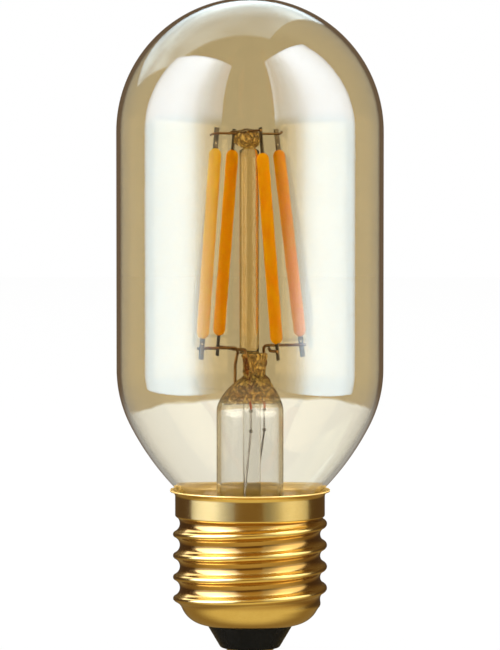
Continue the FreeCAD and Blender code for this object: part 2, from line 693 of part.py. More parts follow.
def top_wire(label, first, last, height, curl):
    """Support wire through the button from one head tab to the opposite one."""
    start = first.weld(first.at_height(height), "top_wire_radius", 1)
    stop = last.weld(last.at_height(height), "top_wire_radius", -1)
    level = (stop - start).normalize()
    reach = size("top_wire_reach")
    points = [
        start - level * reach - Vector(0, 0, size("top_wire_droop")),
        start - level * (reach / 3),
        stop + level * (reach / 3),
        stop + level * (2 * reach / 3) + Vector(0, 0, curl),
    ]
    return bent_wire(label, points, "Dim.top_wire_radius", size("arm_bend"))


def centre_pillar(wires, height):
    """Glass rod with a melted foot and the button that holds the top wires."""
    grip = "Dim.button_half_height / 2"
    middle = height - size("button_drop")
    rod = turned("pillar_rod", [
        ("0 * Dim.pillar_radius", PRESS_TOP),
        ("Dim.pillar_radius + Dim.pillar_foot", PRESS_TOP),
        ("Dim.pillar_radius", PRESS_TOP + " + Dim.pillar_foot"),
        ("Dim.pillar_radius", "%.4f - %s" % (middle, grip)),
        ("0 * Dim.pillar_radius", "%.4f - %s" % (middle, grip)),
    ], "Dim.pillar_shift")
    button = doc.addObject("Part::Ellipsoid", "button")
    button.setExpression("Radius1", "Dim.button_half_height")
    button.setExpression("Radius2", "Dim.button_half_width")
    button.Placement = Placement(Vector(size("button_shift"), 0, middle), Rotation())
    return cut("centre_pillar", fuse("pillar_and_button", [rod, button]), wires)


def lead_points():
    """Where the leads stand: on top of the press, at the bore's end and at the seal wires' lower ends."""
    ends = {}
    for side, sign in (("left", -1), ("right", 1)):
        top = polar(sign * size("lead_top_span") / 2, size("lead_top_angle"), value(PRESS_TOP))
        top.x += size("press_shift")
        low = value(CEILING) - size("seal_wire_tail")
        foot = polar(sign * size("lead_foot_span") / 2, size("lead_foot_angle"), low)
        foot.x += size("lead_foot_shift")
        ends[side] = (foot, top)
    return ends


def arm(label, start, filament, height, extra=()):
    """Wire from a start point along its extra points to a foot tab, and a little past it."""
    weld = filament.weld(filament.at_height(height), "arm_radius")
    level = Vector(filament.outward.x, filament.outward.y, 0).normalize()
    points = [start] + list(extra)
    points += [weld - level * size("arm_approach"), weld + level * size("arm_end_length")]
    return bent_wire(label, points, "Dim.arm_radius", size("arm_bend"))


def screw_wave(distance):
    """Height of the thread's profile above its root, at a distance along Z from the nearest crest.

    A round crest and a wider round root meet on a common tangent half way between them.
    """
    half_pitch = size("thread_pitch") / 2
    depth = size("thread_depth")
    slope = 2 * math.atan(depth / half_pitch)
    crest = size("crest_round")
    root = half_pitch / math.sin(slope) - crest
    if distance < crest * math.sin(slope):
        return depth - crest + math.sqrt(crest ** 2 - distance ** 2)
    return root - math.sqrt(max(root ** 2 - (half_pitch - distance) ** 2, 0))


def ease(fraction):
    """Smooth step from 0 to 1."""
    fraction = min(max(fraction, 0.0), 1.0)
    return fraction * fraction * (3 - 2 * fraction)


def shell_stations():
    """Radius and height of the unthreaded shell's outside, from the lip's edge down to the hole."""
    flare = size("lip_flare")
    under = size("rim_height") - size("shell_wall")
    skirt = value(SKIRT)
    stations = []
    steps = max(3, round(flare * math.pi / 2 / POLE_STEP) + 1)
    for step in range(steps):
        angle = math.pi / 2 * step / steps
        stations.append((skirt + flare * (1 - math.sin(angle)), under - flare * (1 - math.cos(angle))))
    top = under - flare
    bottom = value(BOWL_TOP)
    steps = round((top - bottom) / POLE_STEP)
    for step in range(steps):
        height = top - (top - bottom) * step / steps
        fall = ease((size("skirt_end") - height) / size("lip_flare"))
        stations.append((skirt + (value(ROOT) - skirt) * fall, height))
    bend = size("bowl_bend")
    steps = round(bend * math.pi / 2 / POLE_STEP)
    for step in range(steps + 1):
        angle = math.pi / 2 * step / steps
        stations.append((value(HOLE) + bend * math.cos(angle), bottom - bend * math.sin(angle)))
    return stations


def shell_radius(station, turn):
    """Outside radius at a station and a turn about the axis, with the thread rolled in.

    The crest rises by one pitch in a turn and fades out into the skirt above and the bowl below.
    """
    radius, height = station
    pitch = size("thread_pitch")
    phase = (height - size("crest_height")) / pitch - turn
    distance = abs(phase - round(phase)) * pitch
    fade_up = ease((size("skirt_end") - height) / size("lip_flare"))
    fade_down = ease((height - size("thread_foot")) / size("thread_fade"))
    threaded = value(ROOT) + screw_wave(distance) * fade_up
    if height < value(BOWL_TOP):
        return radius + screw_wave(distance) * fade_down
    return max(radius, threaded)


def shell_skin(rows):
    """Closed surface around the axis through rows of radius and height, one row of poles each."""
    swell = 3 / (2 + math.cos(2 * math.pi / AROUND))
    poles = []
    for column in range(AROUND):
        turn = column / AROUND
        poles.append([polar(row[column][0] * swell, 360 * turn, row[column][1]) for row in rows])
    around_knots = list(range(AROUND + 1))
    down_knots = list(range(len(rows) - 2))
    surface = Part.BSplineSurface()
    surface.buildFromPolesMultsKnots(
        poles,
        [1] * len(around_knots),
        [4] + [1] * (len(down_knots) - 2) + [4],
        around_knots,
        down_knots,
        True,
        False,
        3,
        3,
    )
    return surface


def screw_shell():
    """Thin rolled shell: the same wave inside and out, one sheet apart, closed at the lip and the hole."""
    stations = shell_stations()
    outer = []
    for station in stations:
        outer.append([(shell_radius(station, column / AROUND), station[1]) for column in range(AROUND)])
    wall = size("shell_wall")
    inner = []
    last = len(outer) - 1
    for index, row in enumerate(outer):
        above = outer[max(index - 1, 0)]
        below = outer[min(index + 1, last)]
        inner_row = []
        for column, (radius, height) in enumerate(row):
            across = below[column][0] - above[column][0]
            down = below[column][1] - above[column][1]
            if index == 0:
                across, down = -1.0, 0.0
            if index == last:
                across, down = -1.0, 0.0
            length = math.hypot(across, down)
            inner_row.append((radius + wall * down / length, height - wall * across / length))
        inner.append(inner_row)
    outer_skin = shell_skin(outer)
    inner_skin = shell_skin(inner)
    faces = [outer_skin.toShape(), inner_skin.toShape()]
    for end in (0, 1):
        height = outer_skin.bounds()[2 + end]
        edges = [skin.vIso(height).toShape() for skin in (outer_skin, inner_skin)]
        faces.append(Part.makeRuledSurface(edges[0], edges[1]))
    shell = Part.makeShell(faces)
    shell.sewShape()
    solid = Part.makeSolid(shell)
    if solid.Volume < 0:
        solid.reverse()
    feature = doc.addObject("Part::Feature", "screw_shell")
    feature.Shape = solid
    feature.Label = "screw_shell"
    return feature


def cap_cement():
    """Cement ring, thick in the skirt and thin behind the thread."""
    gap = "Dim.seat_gap"
    wide = "(" + SKIRT + " - Dim.shell_wall - " + gap + ")"
    narrow = "(" + ROOT + " - Dim.shell_wall - " + gap + ")"
    step = "(Dim.skirt_end + Dim.lip_flare / 2)"
    foot = "(Dim.neck_end + Dim.glass_wall)"
    return turned("cap_cement", [
        (NECK, foot),
        (narrow, foot),
        (narrow, step),
        (wide, step),
        (wide, "Dim.cement_top"),
        (NECK, "Dim.cement_top"),
    ])


def insulator():
    """Black cone below the shell. Inside, it fills the bowl and is flat on top for the board."""
    gap = "Dim.seat_gap"
    body = new_body("insulator")
    sketch = new_sketch(body, "insulator_section", "XZ_Plane")
    collar = "(" + HOLE + " - " + gap + ")"
    seat = "(Dim.shell_foot + Dim.shell_wall + " + gap + ")"
    recess = "(Dim.contact_radius + " + gap + ")"
    floor = "(Dim.insulator_tip + Dim.contact_sheet)"
    bend = "(Dim.bowl_bend - Dim.shell_wall - " + gap + ")"
    drop = value(BOWL_TOP) - size("insulator_top")
    reach = math.sqrt(value(bend) ** 2 - drop ** 2)
    arc_start = Vector(value(HOLE), value(BOWL_TOP) - value(bend), 0)
    arc_stop = Vector(value(HOLE) + reach, size("insulator_top"), 0)
    corners = [
        ("Dim.insulator_bore", "Dim.insulator_top"),
        ("Dim.insulator_bore", floor),
        (recess, floor),
        (recess, "Dim.insulator_tip"),
        ("Dim.insulator_tip_radius", "Dim.insulator_tip"),
        (collar, "Dim.shell_foot"),
        (collar, seat),
    ]
    points = [Vector(value(across), value(up), 0) for across, up in corners]
    ends = [arc_stop] + points + [arc_start]
    edges = []
    for start, stop in zip(ends, ends[1:]):
        edges.append(sketch.addGeometry(Part.LineSegment(start, stop), False))
    centre = Vector(value(HOLE), value(BOWL_TOP), 0)
    low = -math.pi / 2
    high = -math.asin(drop / value(bend))
    circle = Part.Circle(centre, Vector(0, 0, 1), value(bend))
    arc = sketch.addGeometry(Part.ArcOfCircle(circle, low, high), False)
    for index, (across, up) in enumerate(corners):
        sketch.addConstraint(Sketcher.Constraint("Coincident", edges[index], 2, edges[index + 1], 1))
        place_point(sketch, edges[index], 2, across, up)
    sketch.addConstraint(Sketcher.Constraint("Coincident", edges[0], 1, arc, 2))
    sketch.addConstraint(Sketcher.Constraint("Coincident", edges[-1], 2, arc, 1))
    sketch.addConstraint(Sketcher.Constraint("Horizontal", edges[0]))
    tie(sketch, "DistanceX", HOLE, -1, 1, edges[-1], 2)
    tie(sketch, "Radius", bend, arc)
    place_point(sketch, arc, 3, HOLE, BOWL_TOP)
    block = revolve(body, sketch)
    doc.recompute()
    rims = rims_at(block.Shape, size("insulator_tip"), value(recess))
    rounding = body.newObject("PartDesign::Fillet", "insulator_edge")
    rounding.Base = (block, rims)
    rounding.setExpression("Radius", "Dim.insulator_tip_bend")
    body.Tip = rounding
    return body


def centre_contact():
    """Pressed disc with a raised middle that sits in the insulator, and an eye for the solder."""
    upper = "(Dim.insulator_tip + Dim.contact_sheet)"
    lower = "(Dim.insulator_tip)"
    return turned("centre_contact", [
        ("Dim.contact_eye", upper),
        ("Dim.contact_eye", "0 * Dim.contact_eye"),
        ("Dim.contact_radius - Dim.contact_sheet", "0 * Dim.contact_eye", "Dim.contact_sheet"),
        ("Dim.contact_radius", lower),
        ("Dim.contact_radius", upper),
    ])


def contact_solder():
    """Solder that fills the contact's eye, held a little above its lowest face."""
    rim = "Dim.solder_recess"
    return turned("contact_solder", [
        ("Dim.hookup_radius", rim),
        ("Dim.contact_eye", rim),
        ("Dim.contact_eye", "Dim.insulator_tip + Dim.contact_sheet"),
        ("Dim.hookup_radius", "Dim.insulator_tip + Dim.contact_sheet"),
    ])


class Board:
    """Round driver board and the places of what it carries."""

    def __init__(self):
        rim = size("board_radius")
        self.left_pad = polar(size("lead_pad_radius"), size("left_pad_angle"))
        self.right_pad = polar(size("lead_pad_radius"), size("right_pad_angle"))
        self.shell_pad = polar(size("shell_pad_radius"), size("shell_pad_angle"))
        reach = rim - size("capacitor_radius") - size("capacitor_margin")
        self.capacitor = polar(reach, size("capacitor_angle"))
        self.rectifier = polar(size("rectifier_place"), size("rectifier_angle"))
        self.chip = polar(size("chip_body_place"), size("chip_body_angle"))
        self.resistor = polar(size("resistor_place"), size("resistor_angle"))

    def capacitor_legs(self):
        half = Vector(0, size("capacitor_pitch") / 2, 0)
        return [self.capacitor - half, self.capacitor + half]

    def resistor_legs(self):
        half = Vector(size("resistor_length") / 2 + 3 * size("hookup_radius"), 0, 0)
        return [self.resistor - half, self.resistor + half]

    def holes(self):
        single = [self.left_pad, self.right_pad, self.shell_pad, Vector(0, 0, 0)]
        return single + self.capacitor_legs() + self.resistor_legs()


def driver_board(board):
    body = new_body("driver_board")
    sketch = new_sketch(body, "board_outline", "XY_Plane", "Dim.insulator_top")
    circle_in(sketch, "Dim.board_radius")
    blank = pad(body, sketch, "Dim.board_thickness")
    holes = new_sketch(body, "board_holes", "XY_Plane", "Dim.insulator_top")
    for point in board.holes():
        circle = Part.Circle(Vector(point.x, point.y, 0), Vector(0, 0, 1), size("pad_hole"))
        index = holes.addGeometry(circle, False)
        tie(holes, "Radius", "Dim.pad_hole", index)
    doc.recompute()
    full_volume = blank.Shape.Volume
    pocket = body.newObject("PartDesign::Pocket", "board_drilling")
    pocket.Profile = holes
    pocket.Type = "ThroughAll"
    pocket.Reversed = True
    body.Tip = pocket
    doc.recompute()
    drilled = len(board.holes()) * math.pi * size("pad_hole") ** 2 * size("board_thickness")
    if abs(full_volume - pocket.Shape.Volume - drilled) > VOLUME_SLACK * drilled:
        raise RuntimeError("the board's holes are not all drilled")
    return body


def smoothing_capacitor(board):
    """Can with a crimped groove above the board, and two legs through it."""
    foot = BOARD_TOP
    radius = "Dim.capacitor_radius"
    can = turned("capacitor_can", [
        ("0 * Dim.capacitor_radius", foot),
        (radius, foot, "Dim.can_bend"),
        (radius, foot + " + Dim.groove_rise - Dim.groove_half_width"),
        (radius + " - Dim.groove_depth", foot + " + Dim.groove_rise"),
        (radius, foot + " + Dim.groove_rise + Dim.groove_half_width"),
        (radius, foot + " + Dim.capacitor_height", "Dim.can_bend"),
        ("0 * Dim.capacitor_radius", foot + " + Dim.capacitor_height"),
    ])
    can.Placement.Base = board.capacitor
    parts = [can]
    for index, point in enumerate(board.capacitor_legs()):
        leg = doc.addObject("Part::Cylinder", "capacitor_leg_%d" % index)
        leg.setExpression("Radius", "Dim.hookup_radius")
        leg.setExpression("Height", "Dim.board_thickness + Dim.leg_sheet")
        leg.Placement.Base = point + Vector(0, 0, size("insulator_top"))
        parts.append(leg)
    return fuse("smoothing_capacitor", parts)


def legged_package(label, prefix, centre, per_side):
    """Moulded body with a bevelled edge, lifted on bent legs along two sides."""
    length = "Dim.%s_length" % prefix
    depth = "Dim.%s_depth" % prefix
    height = "Dim.%s_height" % prefix
    foot = value(BOARD_TOP)
    lift = size("leg_sheet")
    body = new_body(label + "_body")
    sketch = new_sketch(body, body.Name + "_plan", "XY_Plane", BOARD_TOP + " + Dim.leg_sheet")
    outline(sketch, [
        ("-" + length + " / 2", "-" + depth + " / 2"),
        (length + " / 2", "-" + depth + " / 2"),
        (length + " / 2", depth + " / 2"),
        ("-" + length + " / 2", depth + " / 2"),
    ])
    block = pad(body, sketch, height)
    doc.recompute()
    top = foot + lift + value(height)
    rims = rims_at(block.Shape, top)
    bevel = body.newObject("PartDesign::Chamfer", body.Name + "_bevel")
    bevel.Base = (block, rims)
    bevel.setExpression("Size", "Dim.leg_sheet")
    body.Tip = bevel
    body.Placement.Base = centre
    parts = [body]
    middle = lift + value(height) / 2
    for side in (-1, 1):
        for index in range(per_side):
            spot = (index + 0.5) / per_side - 0.5
            leg = bent_leg("%s_leg_%d_%d" % (label, side + 1, index), side, middle, value(depth) / 2)
            leg.Placement.Base = centre + Vector(spot * value(length), 0, foot)
            parts.append(leg)
    return fuse(label, parts)


def bent_leg(name, side, middle, start):
    """Leg in three bends: out of the body, down, and out along the board."""
    sheet_size = size("leg_sheet")
    reach = size("leg_length")
    half = sheet_size
    outward = [start - sheet_size, start + reach / 2, start + reach / 2, start + reach]
    outward += [start + reach, start + reach / 2 - sheet_size, start + reach / 2 - sheet_size, start - sheet_size]
    heights = [middle + sheet_size, middle + sheet_size, sheet_size, sheet_size]
    heights += [0, 0, middle, middle]
    points = [Vector(-half, side * out, height) for out, height in zip(outward, heights)]
    face = Part.Face(Part.makePolygon(points + [points[0]]))
    leg = doc.addObject("Part::Feature", name)
    leg.Shape = face.extrude(Vector(2 * half, 0, 0))
    return leg


def fuse_resistor(board):
    """Dog-bone body lying on the board, with a leg bent down at each end."""
    radius = size("resistor_radius")
    lift = value(BOARD_TOP) + radius
    half = size("resistor_length") / 2
    slope_end = "(Dim.resistor_length / 2 - Dim.resistor_end_length - Dim.resistor_slope_length)"
    body = turned("resistor_body", [
        ("0 * Dim.resistor_radius", "-Dim.resistor_length / 2"),
        ("Dim.resistor_radius", "-Dim.resistor_length / 2", "Dim.resistor_bend"),
        ("Dim.resistor_radius", "-" + slope_end + " - Dim.resistor_slope_length"),
        ("Dim.resistor_waist_radius", "-" + slope_end),
        ("Dim.resistor_waist_radius", slope_end),
        ("Dim.resistor_radius", slope_end + " + Dim.resistor_slope_length"),
        ("Dim.resistor_radius", "Dim.resistor_length / 2", "Dim.resistor_bend"),
        ("0 * Dim.resistor_radius", "Dim.resistor_length / 2"),
    ])
    centre = board.resistor + Vector(0, 0, lift)
    body.Placement = Placement(centre, Rotation(Vector(0, 1, 0), 90))
    parts = [body]
    for index, point in enumerate(board.resistor_legs()):
        sign = 1 if point.x > board.resistor.x else -1
        knee = Vector(point.x, point.y, lift)
        points = [
            centre + Vector(sign * (half - 2 * size("hookup_radius")), 0, 0),
            knee,
            Vector(point.x, point.y, size("insulator_top")),
        ]
        parts.append(bent_wire("resistor_leg_%d" % index, points, "Dim.hookup_radius", 2 * radius))
    return fuse("fuse_resistor", parts)


def outer_lead(side, start, pad_point):
    """Thin lead from its seal wire down past the exhaust tube to the board, with two weld beads."""
    low = value("Dim.insulator_top")
    bead = start - Vector(0, 0, size("bead_drop"))
    spread = Vector(pad_point.x, pad_point.y, 0)
    rim = start * (1 - size("lead_fan")) + spread * size("lead_fan")
    rim.z = size("rim_height")
    upper = start - Vector(0, 0, size("bead_radius") + size("weld_gap"))
    points = [
        upper,
        bead,
        rim,
        Vector(pad_point.x, pad_point.y, low + size("lead_upright")),
        Vector(pad_point.x, pad_point.y, low),
    ]
    wire = bent_wire("outer_lead_%s_wire" % side, points, "Dim.outer_lead_radius", size("lead_bend"))
    parts = [wire]
    for index, point in enumerate((upper, bead)):
        ball = doc.addObject("Part::Sphere", "bead_%s_%d" % (side, index))
        ball.setExpression("Radius", "Dim.bead_radius")
        ball.Placement = Placement(point, Rotation(Vector(1, 0, 0), 90))
        parts.append(ball)
    return fuse("outer_lead_" + side, parts)


def shell_wire(board):
    """Wire from the board out to the root of the thread, where it is welded to the shell."""
    pitch = size("thread_pitch")
    quarter = 0.25
    lowest = value(BOARD_TOP) + 2 * size("hookup_bend")
    crest = size("crest_height") + pitch * quarter
    root = crest - pitch / 2
    while root - pitch > lowest:
        root -= pitch
    while root < lowest:
        root += pitch
    end = value(ROOT) - size("shell_wall") - 2 * size("seat_gap")
    point = board.shell_pad
    points = [
        Vector(point.x, point.y, size("insulator_top")),
        Vector(point.x, point.y, root),
        Vector(0, end, root),
    ]
    return bent_wire("shell_wire", points, "Dim.hookup_radius", size("hookup_bend"))


def make_lamp():
    """Every piece of the lamp, in the order in which the lamp is put together."""
    filaments = {
        "a": Filament("a", 180, "outer_pair_shift", 0.0),
        "b": Filament("b", 90, "inner_pair_shift", 0.0),
        "c": Filament("c", 270, "inner_pair_shift", size("coat_slip")),
        "d": Filament("d", 0, "outer_pair_shift", 0.0),
    }
    pieces = []
    for filament in filaments.values():
        strip = filament_strip(filament)
        head = filament_tab(filament, 1)
        foot = filament_tab(filament, -1)
        chips = filament_chips(filament)
        doc.recompute()
        coat = filament_coat(filament, [strip, head, foot, chips])
        pieces += [strip, head, foot, chips, coat]

    end = size("coat_length") / 2 + size("head_weld")
    wire_height = filaments["a"].middle.z + filaments["a"].along.z * end
    crossing = 2 * size("top_wire_radius") + size("weld_gap")
    outer = top_wire("top_wire_outer", filaments["a"], filaments["d"], wire_height,
                     size("top_wire_curl"))
    inner = top_wire("top_wire_inner", filaments["b"], filaments["c"], wire_height + crossing, 0.0)
    pillar = centre_pillar([outer, inner], wire_height)
    pieces += [outer, inner, pillar]

    ends = lead_points()
    lift = Vector(0, 0, size("weld_gap"))
    low_arm = value(PRESS_TOP + " + Dim.foot_rise")
    crossing = 2 * size("arm_radius") + size("weld_gap")
    seal = {}
    for side, (foot, top) in ends.items():
        seal[side] = bent_wire("seal_wire_" + side, [foot, top], "Dim.seal_wire_radius", 1.0)
    left_top = ends["left"][1]
    right_top = ends["right"][1]
    clear = size("pillar_shift") - size("pillar_radius") - size("arm_clearance")
    left_turn = Vector(clear, left_top.y / 2, low_arm)
    left_rise = Vector(left_top.x, left_top.y, low_arm)
    lead_left = arm("lead_wire_left", left_top + lift, filaments["b"], low_arm, [left_rise, left_turn])
    right_rise = Vector(right_top.x, right_top.y, low_arm + crossing)
    lead_right = arm("lead_wire_right", right_top + lift, filaments["d"], low_arm + crossing, [right_rise])
    run = (left_turn - left_rise).normalize()
    beside = Vector(-run.y, run.x, 0) * size("branch_offset")
    rise = Vector(0, 0, size("branch_rise"))
    over = (left_rise + left_turn) * 0.5 + beside + rise
    root = Vector(size("root_x"), size("root_y"), value(PRESS_FOOT) - size("root_depth"))
    side_rise = Vector(root.x, root.y, value(PRESS_FOOT) + size("press_height") / 2)
    branch_left = arm("branch_wire_left", root, filaments["a"], over.z, [side_rise, over])
    far = right_rise + (filaments["d"].middle - right_rise) * size("branch_share")
    start = Vector(far.x, far.y, low_arm)
    branch_right = arm("branch_wire_right", start, filaments["c"], low_arm)
    stem = cut("stem_tube", stem_blank(), [seal["left"], seal["right"], branch_left])
    pieces += [stem, exhaust_tube(), seal["left"], seal["right"]]
    pieces += [lead_left, lead_right, branch_left, branch_right]

    board = Board()
    pieces.append(driver_board(board))
    pieces.append(outer_lead("left", ends["left"][0], board.left_pad))
    pieces.append(outer_lead("right", ends["right"][0], board.right_pad))
    pieces.append(smoothing_capacitor(board))
    pieces.append(legged_package("rectifier", "rectifier", board.rectifier, 2))
    pieces.append(legged_package("driver_chip", "chip_body", board.chip, 4))
    pieces.append(fuse_resistor(board))
    wire_ends = [Vector(0, 0, value(BOARD_TOP)), Vector(0, 0, 2 * size("solder_recess"))]
    pieces.append(bent_wire("centre_wire", wire_ends, "Dim.hookup_radius", 1.0))
    pieces.append(shell_wire(board))

    pieces += [glass_envelope(), screw_shell(), cap_cement()]
    pieces += [insulator(), centre_contact(), contact_solder()]
    return pieces


def export(pieces):
    """Stops at any failed feature or broken shape, then writes one file for each piece."""
    doc.recompute()
    for feature in doc.Objects:
        for state in ("Invalid", "Error"):
            if state in feature.State:
                raise RuntimeError("%s is %s" % (feature.Name, state))
    for piece in pieces:
        if piece.Shape.isNull() or not piece.Shape.isValid():
            raise RuntimeError("%s has no valid shape" % piece.Label)
    os.makedirs("parts", exist_ok=True)
    for piece in pieces:
        piece.Shape.exportStep("parts/%s.step" % piece.Label)
        print("%-20s %9.3f mm3" % (piece.Label, piece.Shape.Volume))


export(make_lamp())
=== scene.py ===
"""Tubular filament lamp: smooth glass, phosphor filaments, wires and a rolled screw cap.

Lengths in the shape functions are millimetres and turn into metres where a mesh is made.
The origin is under the centre contact, +Z runs up to the dome and -Y faces the viewer.
"""

import math

import bmesh
import bpy
import numpy as np
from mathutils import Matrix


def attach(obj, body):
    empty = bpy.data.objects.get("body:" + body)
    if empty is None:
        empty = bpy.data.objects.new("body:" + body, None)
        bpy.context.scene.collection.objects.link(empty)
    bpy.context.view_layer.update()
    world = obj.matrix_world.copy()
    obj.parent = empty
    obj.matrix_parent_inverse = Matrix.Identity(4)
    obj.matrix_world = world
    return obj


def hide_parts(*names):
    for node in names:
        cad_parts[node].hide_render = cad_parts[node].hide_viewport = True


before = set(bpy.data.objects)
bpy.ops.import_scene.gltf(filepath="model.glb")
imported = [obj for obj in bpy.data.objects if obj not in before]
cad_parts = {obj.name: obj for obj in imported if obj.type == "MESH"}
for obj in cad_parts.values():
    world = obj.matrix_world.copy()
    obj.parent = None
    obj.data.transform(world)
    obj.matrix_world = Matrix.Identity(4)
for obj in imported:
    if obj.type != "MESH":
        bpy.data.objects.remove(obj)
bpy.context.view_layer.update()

MM = 0.001
TURN = 2 * math.pi

# Bulb
HEIGHT = 110.0
BULB_RADIUS = 22.5
GLASS_WALL = 0.7
SHOULDER_RADIUS = 20.7
SHOULDER_TURN = math.radians(27.0)
TAPER_RADIUS = 45.0
NECK_BEND = 3.0
BEND_FOOT = 24.7
NECK_END = 18.5
COAT_EDGE = 42.5
COAT_EDGE_LEAN = 1.3
COAT_EDGE_DROOP = 3.2
COAT_EDGE_TILT = 0.5
COAT_EDGE_RIPPLE = 1.6
COAT_EDGE_FADE = 0.4

# Cap
CREST_RADIUS = 13.025
THREAD_DEPTH = 1.15
THREAD_PITCH = 3.629
THREAD_PHASE = 14.2
CREST_ROUND = 0.55
THREAD_FOOT = 7.0
THREAD_FADE = 1.41
SHELL_WALL = 0.28
SHELL_FOOT = 4.45
BOWL_BEND = 4.5
RIM_HEIGHT = 27.2
LIP_FLARE = 0.85
SKIRT_STEP = 0.375
SKIRT_END = 22.9
CEMENT = 0.5
ROOT_RADIUS = CREST_RADIUS - THREAD_DEPTH
SKIRT_RADIUS = CREST_RADIUS - SKIRT_STEP
HOLE_RADIUS = ROOT_RADIUS - BOWL_BEND
TIP_HEIGHT = 0.5
TIP_RADIUS = 5.0
TIP_BEND = 0.4
CONTACT_RADIUS = 4.2
CONTACT_SHEET = 0.5
INSULATOR_TOP = 6.8
INSULATOR_BORE = 1.1
INSULATOR_GAP = 0.04
NECK_RADIUS = ROOT_RADIUS - SHELL_WALL - CEMENT

# Stem
STEM_RADIUS = 5.65
STEM_WALL = 0.65
FLARE_BEND = 4.0
BARREL_END = NECK_END + 22.0
CEILING = BARREL_END + 3.1
PRESS_FOOT = BARREL_END + 6.1
PRESS_TOP = PRESS_FOOT + 3.6
PRESS_TURN = math.radians(60.0)
PRESS_FOOT_HALF = (3.0, 1.2)
PRESS_TOP_HALF = (3.4, 1.5)
PRESS_SHIFT = 0.8
PRESS_ROUND = 0.3
PRESS_WAVE = 0.09
CEILING_HALF = (3.6, 2.6)
CEILING_SHIFT = 0.1
EXHAUST_RADIUS = 1.5
EXHAUST_SHIFT = 0.3
EXHAUST_OVERHANG = 6.0
PILLAR_RADIUS = 1.65
PILLAR_SHIFT = -0.12
PILLAR_FOOT = 0.14
BUTTON_RADIUS = 2.3
BUTTON_HALF = 1.72
BUTTON_DROP = 0.85
BUTTON_SHIFT = -0.48

# Filaments
COAT_LENGTH = 32.0
COAT_RADIUS = 1.03
COAT_END = 1.15
FOOT_CIRCLE = 9.6
FOOT_ANGLE = 30.6
FOOT_RISE = 0.75
FOOT_WELD = 1.95
HEAD_CIRCLE = 5.84
HEAD_ANGLE = 25.0
HEAD_SHIFT = -0.48
HEAD_WELD = 2.5
FILAMENT_PLACES = (("a", 180, 0.34), ("b", 90, -0.5), ("c", 270, -0.5), ("d", 0, 0.34))


def ease(fraction):
    """Smooth step: 3 f squared less 2 f cubed, held between 0 and 1."""
    fraction = np.clip(fraction, 0.0, 1.0)
    return fraction * fraction * (3 - 2 * fraction)


def grid_mesh(name, grid, closed=(True, False), inside=None):
    """Piece from a grid of points in millimetres, rows along the first index.

    Each cell of the grid is one quad. closed says whether the columns and the rows join up.
    Points that fall together, as at a pole, become one, and the faces are turned outwards.
    inside tells which rows lie on an inner skin; it becomes the point attribute "inner_skin".
    """
    rows, columns = grid.shape[:2]
    down = np.arange(rows if closed[1] else rows - 1)
    along = np.arange(columns if closed[0] else columns - 1)
    first, second = np.meshgrid(down, along, indexing="ij")
    below, beside = (first + 1) % rows, (second + 1) % columns
    quads = np.stack([
        first * columns + second,
        first * columns + beside,
        below * columns + beside,
        below * columns + second,
    ], axis=-1).reshape(-1, 4)
    mesh = bpy.data.meshes.new(name)
    mesh.from_pydata((grid.reshape(-1, 3) * MM).tolist(), [], quads.tolist())
    if inside is not None:
        mark = mesh.attributes.new("inner_skin", "FLOAT", "POINT")
        mark.data.foreach_set("value", np.repeat(inside.astype(np.float32), columns))
    shape = bmesh.new()
    shape.from_mesh(mesh)
    bmesh.ops.remove_doubles(shape, verts=shape.verts, dist=1e-7)
    bmesh.ops.recalc_face_normals(shape, faces=shape.faces)
    shape.to_mesh(mesh)
    shape.free()
    mesh.polygons.foreach_set("use_smooth", np.ones(len(mesh.polygons), bool))
    piece = bpy.data.objects.new(name, mesh)
    bpy.context.scene.collection.objects.link(piece)
    return piece


def dress(piece, material, slot, *nodes):
    """Gives a piece its material and lets it ride on the one body; slot is not used."""
    piece.data.materials.append(material)
    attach(piece, "root")
    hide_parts(*nodes)
    return piece


def lathe(radius, height, around=192, centre=(0.0, 0.0)):
    """Grid of a profile turned about an upright axis: radius times cosine and sine of the turn."""
    angle = np.arange(around) / around * TURN
    grid = np.empty((len(radius), around, 3))
    grid[..., 0] = centre[0] + np.outer(radius, np.cos(angle))
    grid[..., 1] = centre[1] + np.outer(radius, np.sin(angle))
    grid[..., 2] = np.asarray(height)[:, None]
    return grid


def arc(centre, radius, start, stop, count):
    """Points of a circle's arc from one angle to another, in radians."""
    angle = np.linspace(start, stop, count)
    return centre[0] + radius * np.cos(angle), centre[1] + radius * np.sin(angle)


def chain(*runs):
    """Joins runs of radius and height to one profile."""
    return np.concatenate([run[0] for run in runs]), np.concatenate([run[1] for run in runs])


def bulb_profile(inset):
    """Dome, tube, shoulder arc, taper arc, neck bend and neck, each tangent to the next."""
    third = np.array([NECK_RADIUS + NECK_BEND, BEND_FOOT])
    lean = np.array([-math.cos(SHOULDER_TURN), math.sin(SHOULDER_TURN)])
    growth = lean * (TAPER_RADIUS - SHOULDER_RADIUS)
    reach = TAPER_RADIUS + NECK_BEND
    sideways = third[0] - (BULB_RADIUS - SHOULDER_RADIUS) - growth[0]
    second = third + np.array([-sideways, math.sqrt(reach ** 2 - sideways ** 2)])
    first = second - growth
    slope = math.asin((second[1] - third[1]) / reach)
    wall = np.linspace(HEIGHT - BULB_RADIUS, first[1], 14)[1:-1]
    neck = np.linspace(third[1], NECK_END, 6)[1:]
    return chain(
        arc((0, HEIGHT - BULB_RADIUS), BULB_RADIUS - inset, math.pi / 2, 0, 44),
        (np.full_like(wall, BULB_RADIUS - inset), wall),
        arc(first, SHOULDER_RADIUS - inset, 0, -SHOULDER_TURN, 14),
        arc(second, TAPER_RADIUS - inset, -SHOULDER_TURN, -slope, 24),
        arc(third, NECK_BEND + inset, math.pi - slope, math.pi, 10),
        (np.full_like(neck, NECK_RADIUS - inset), neck),
    )


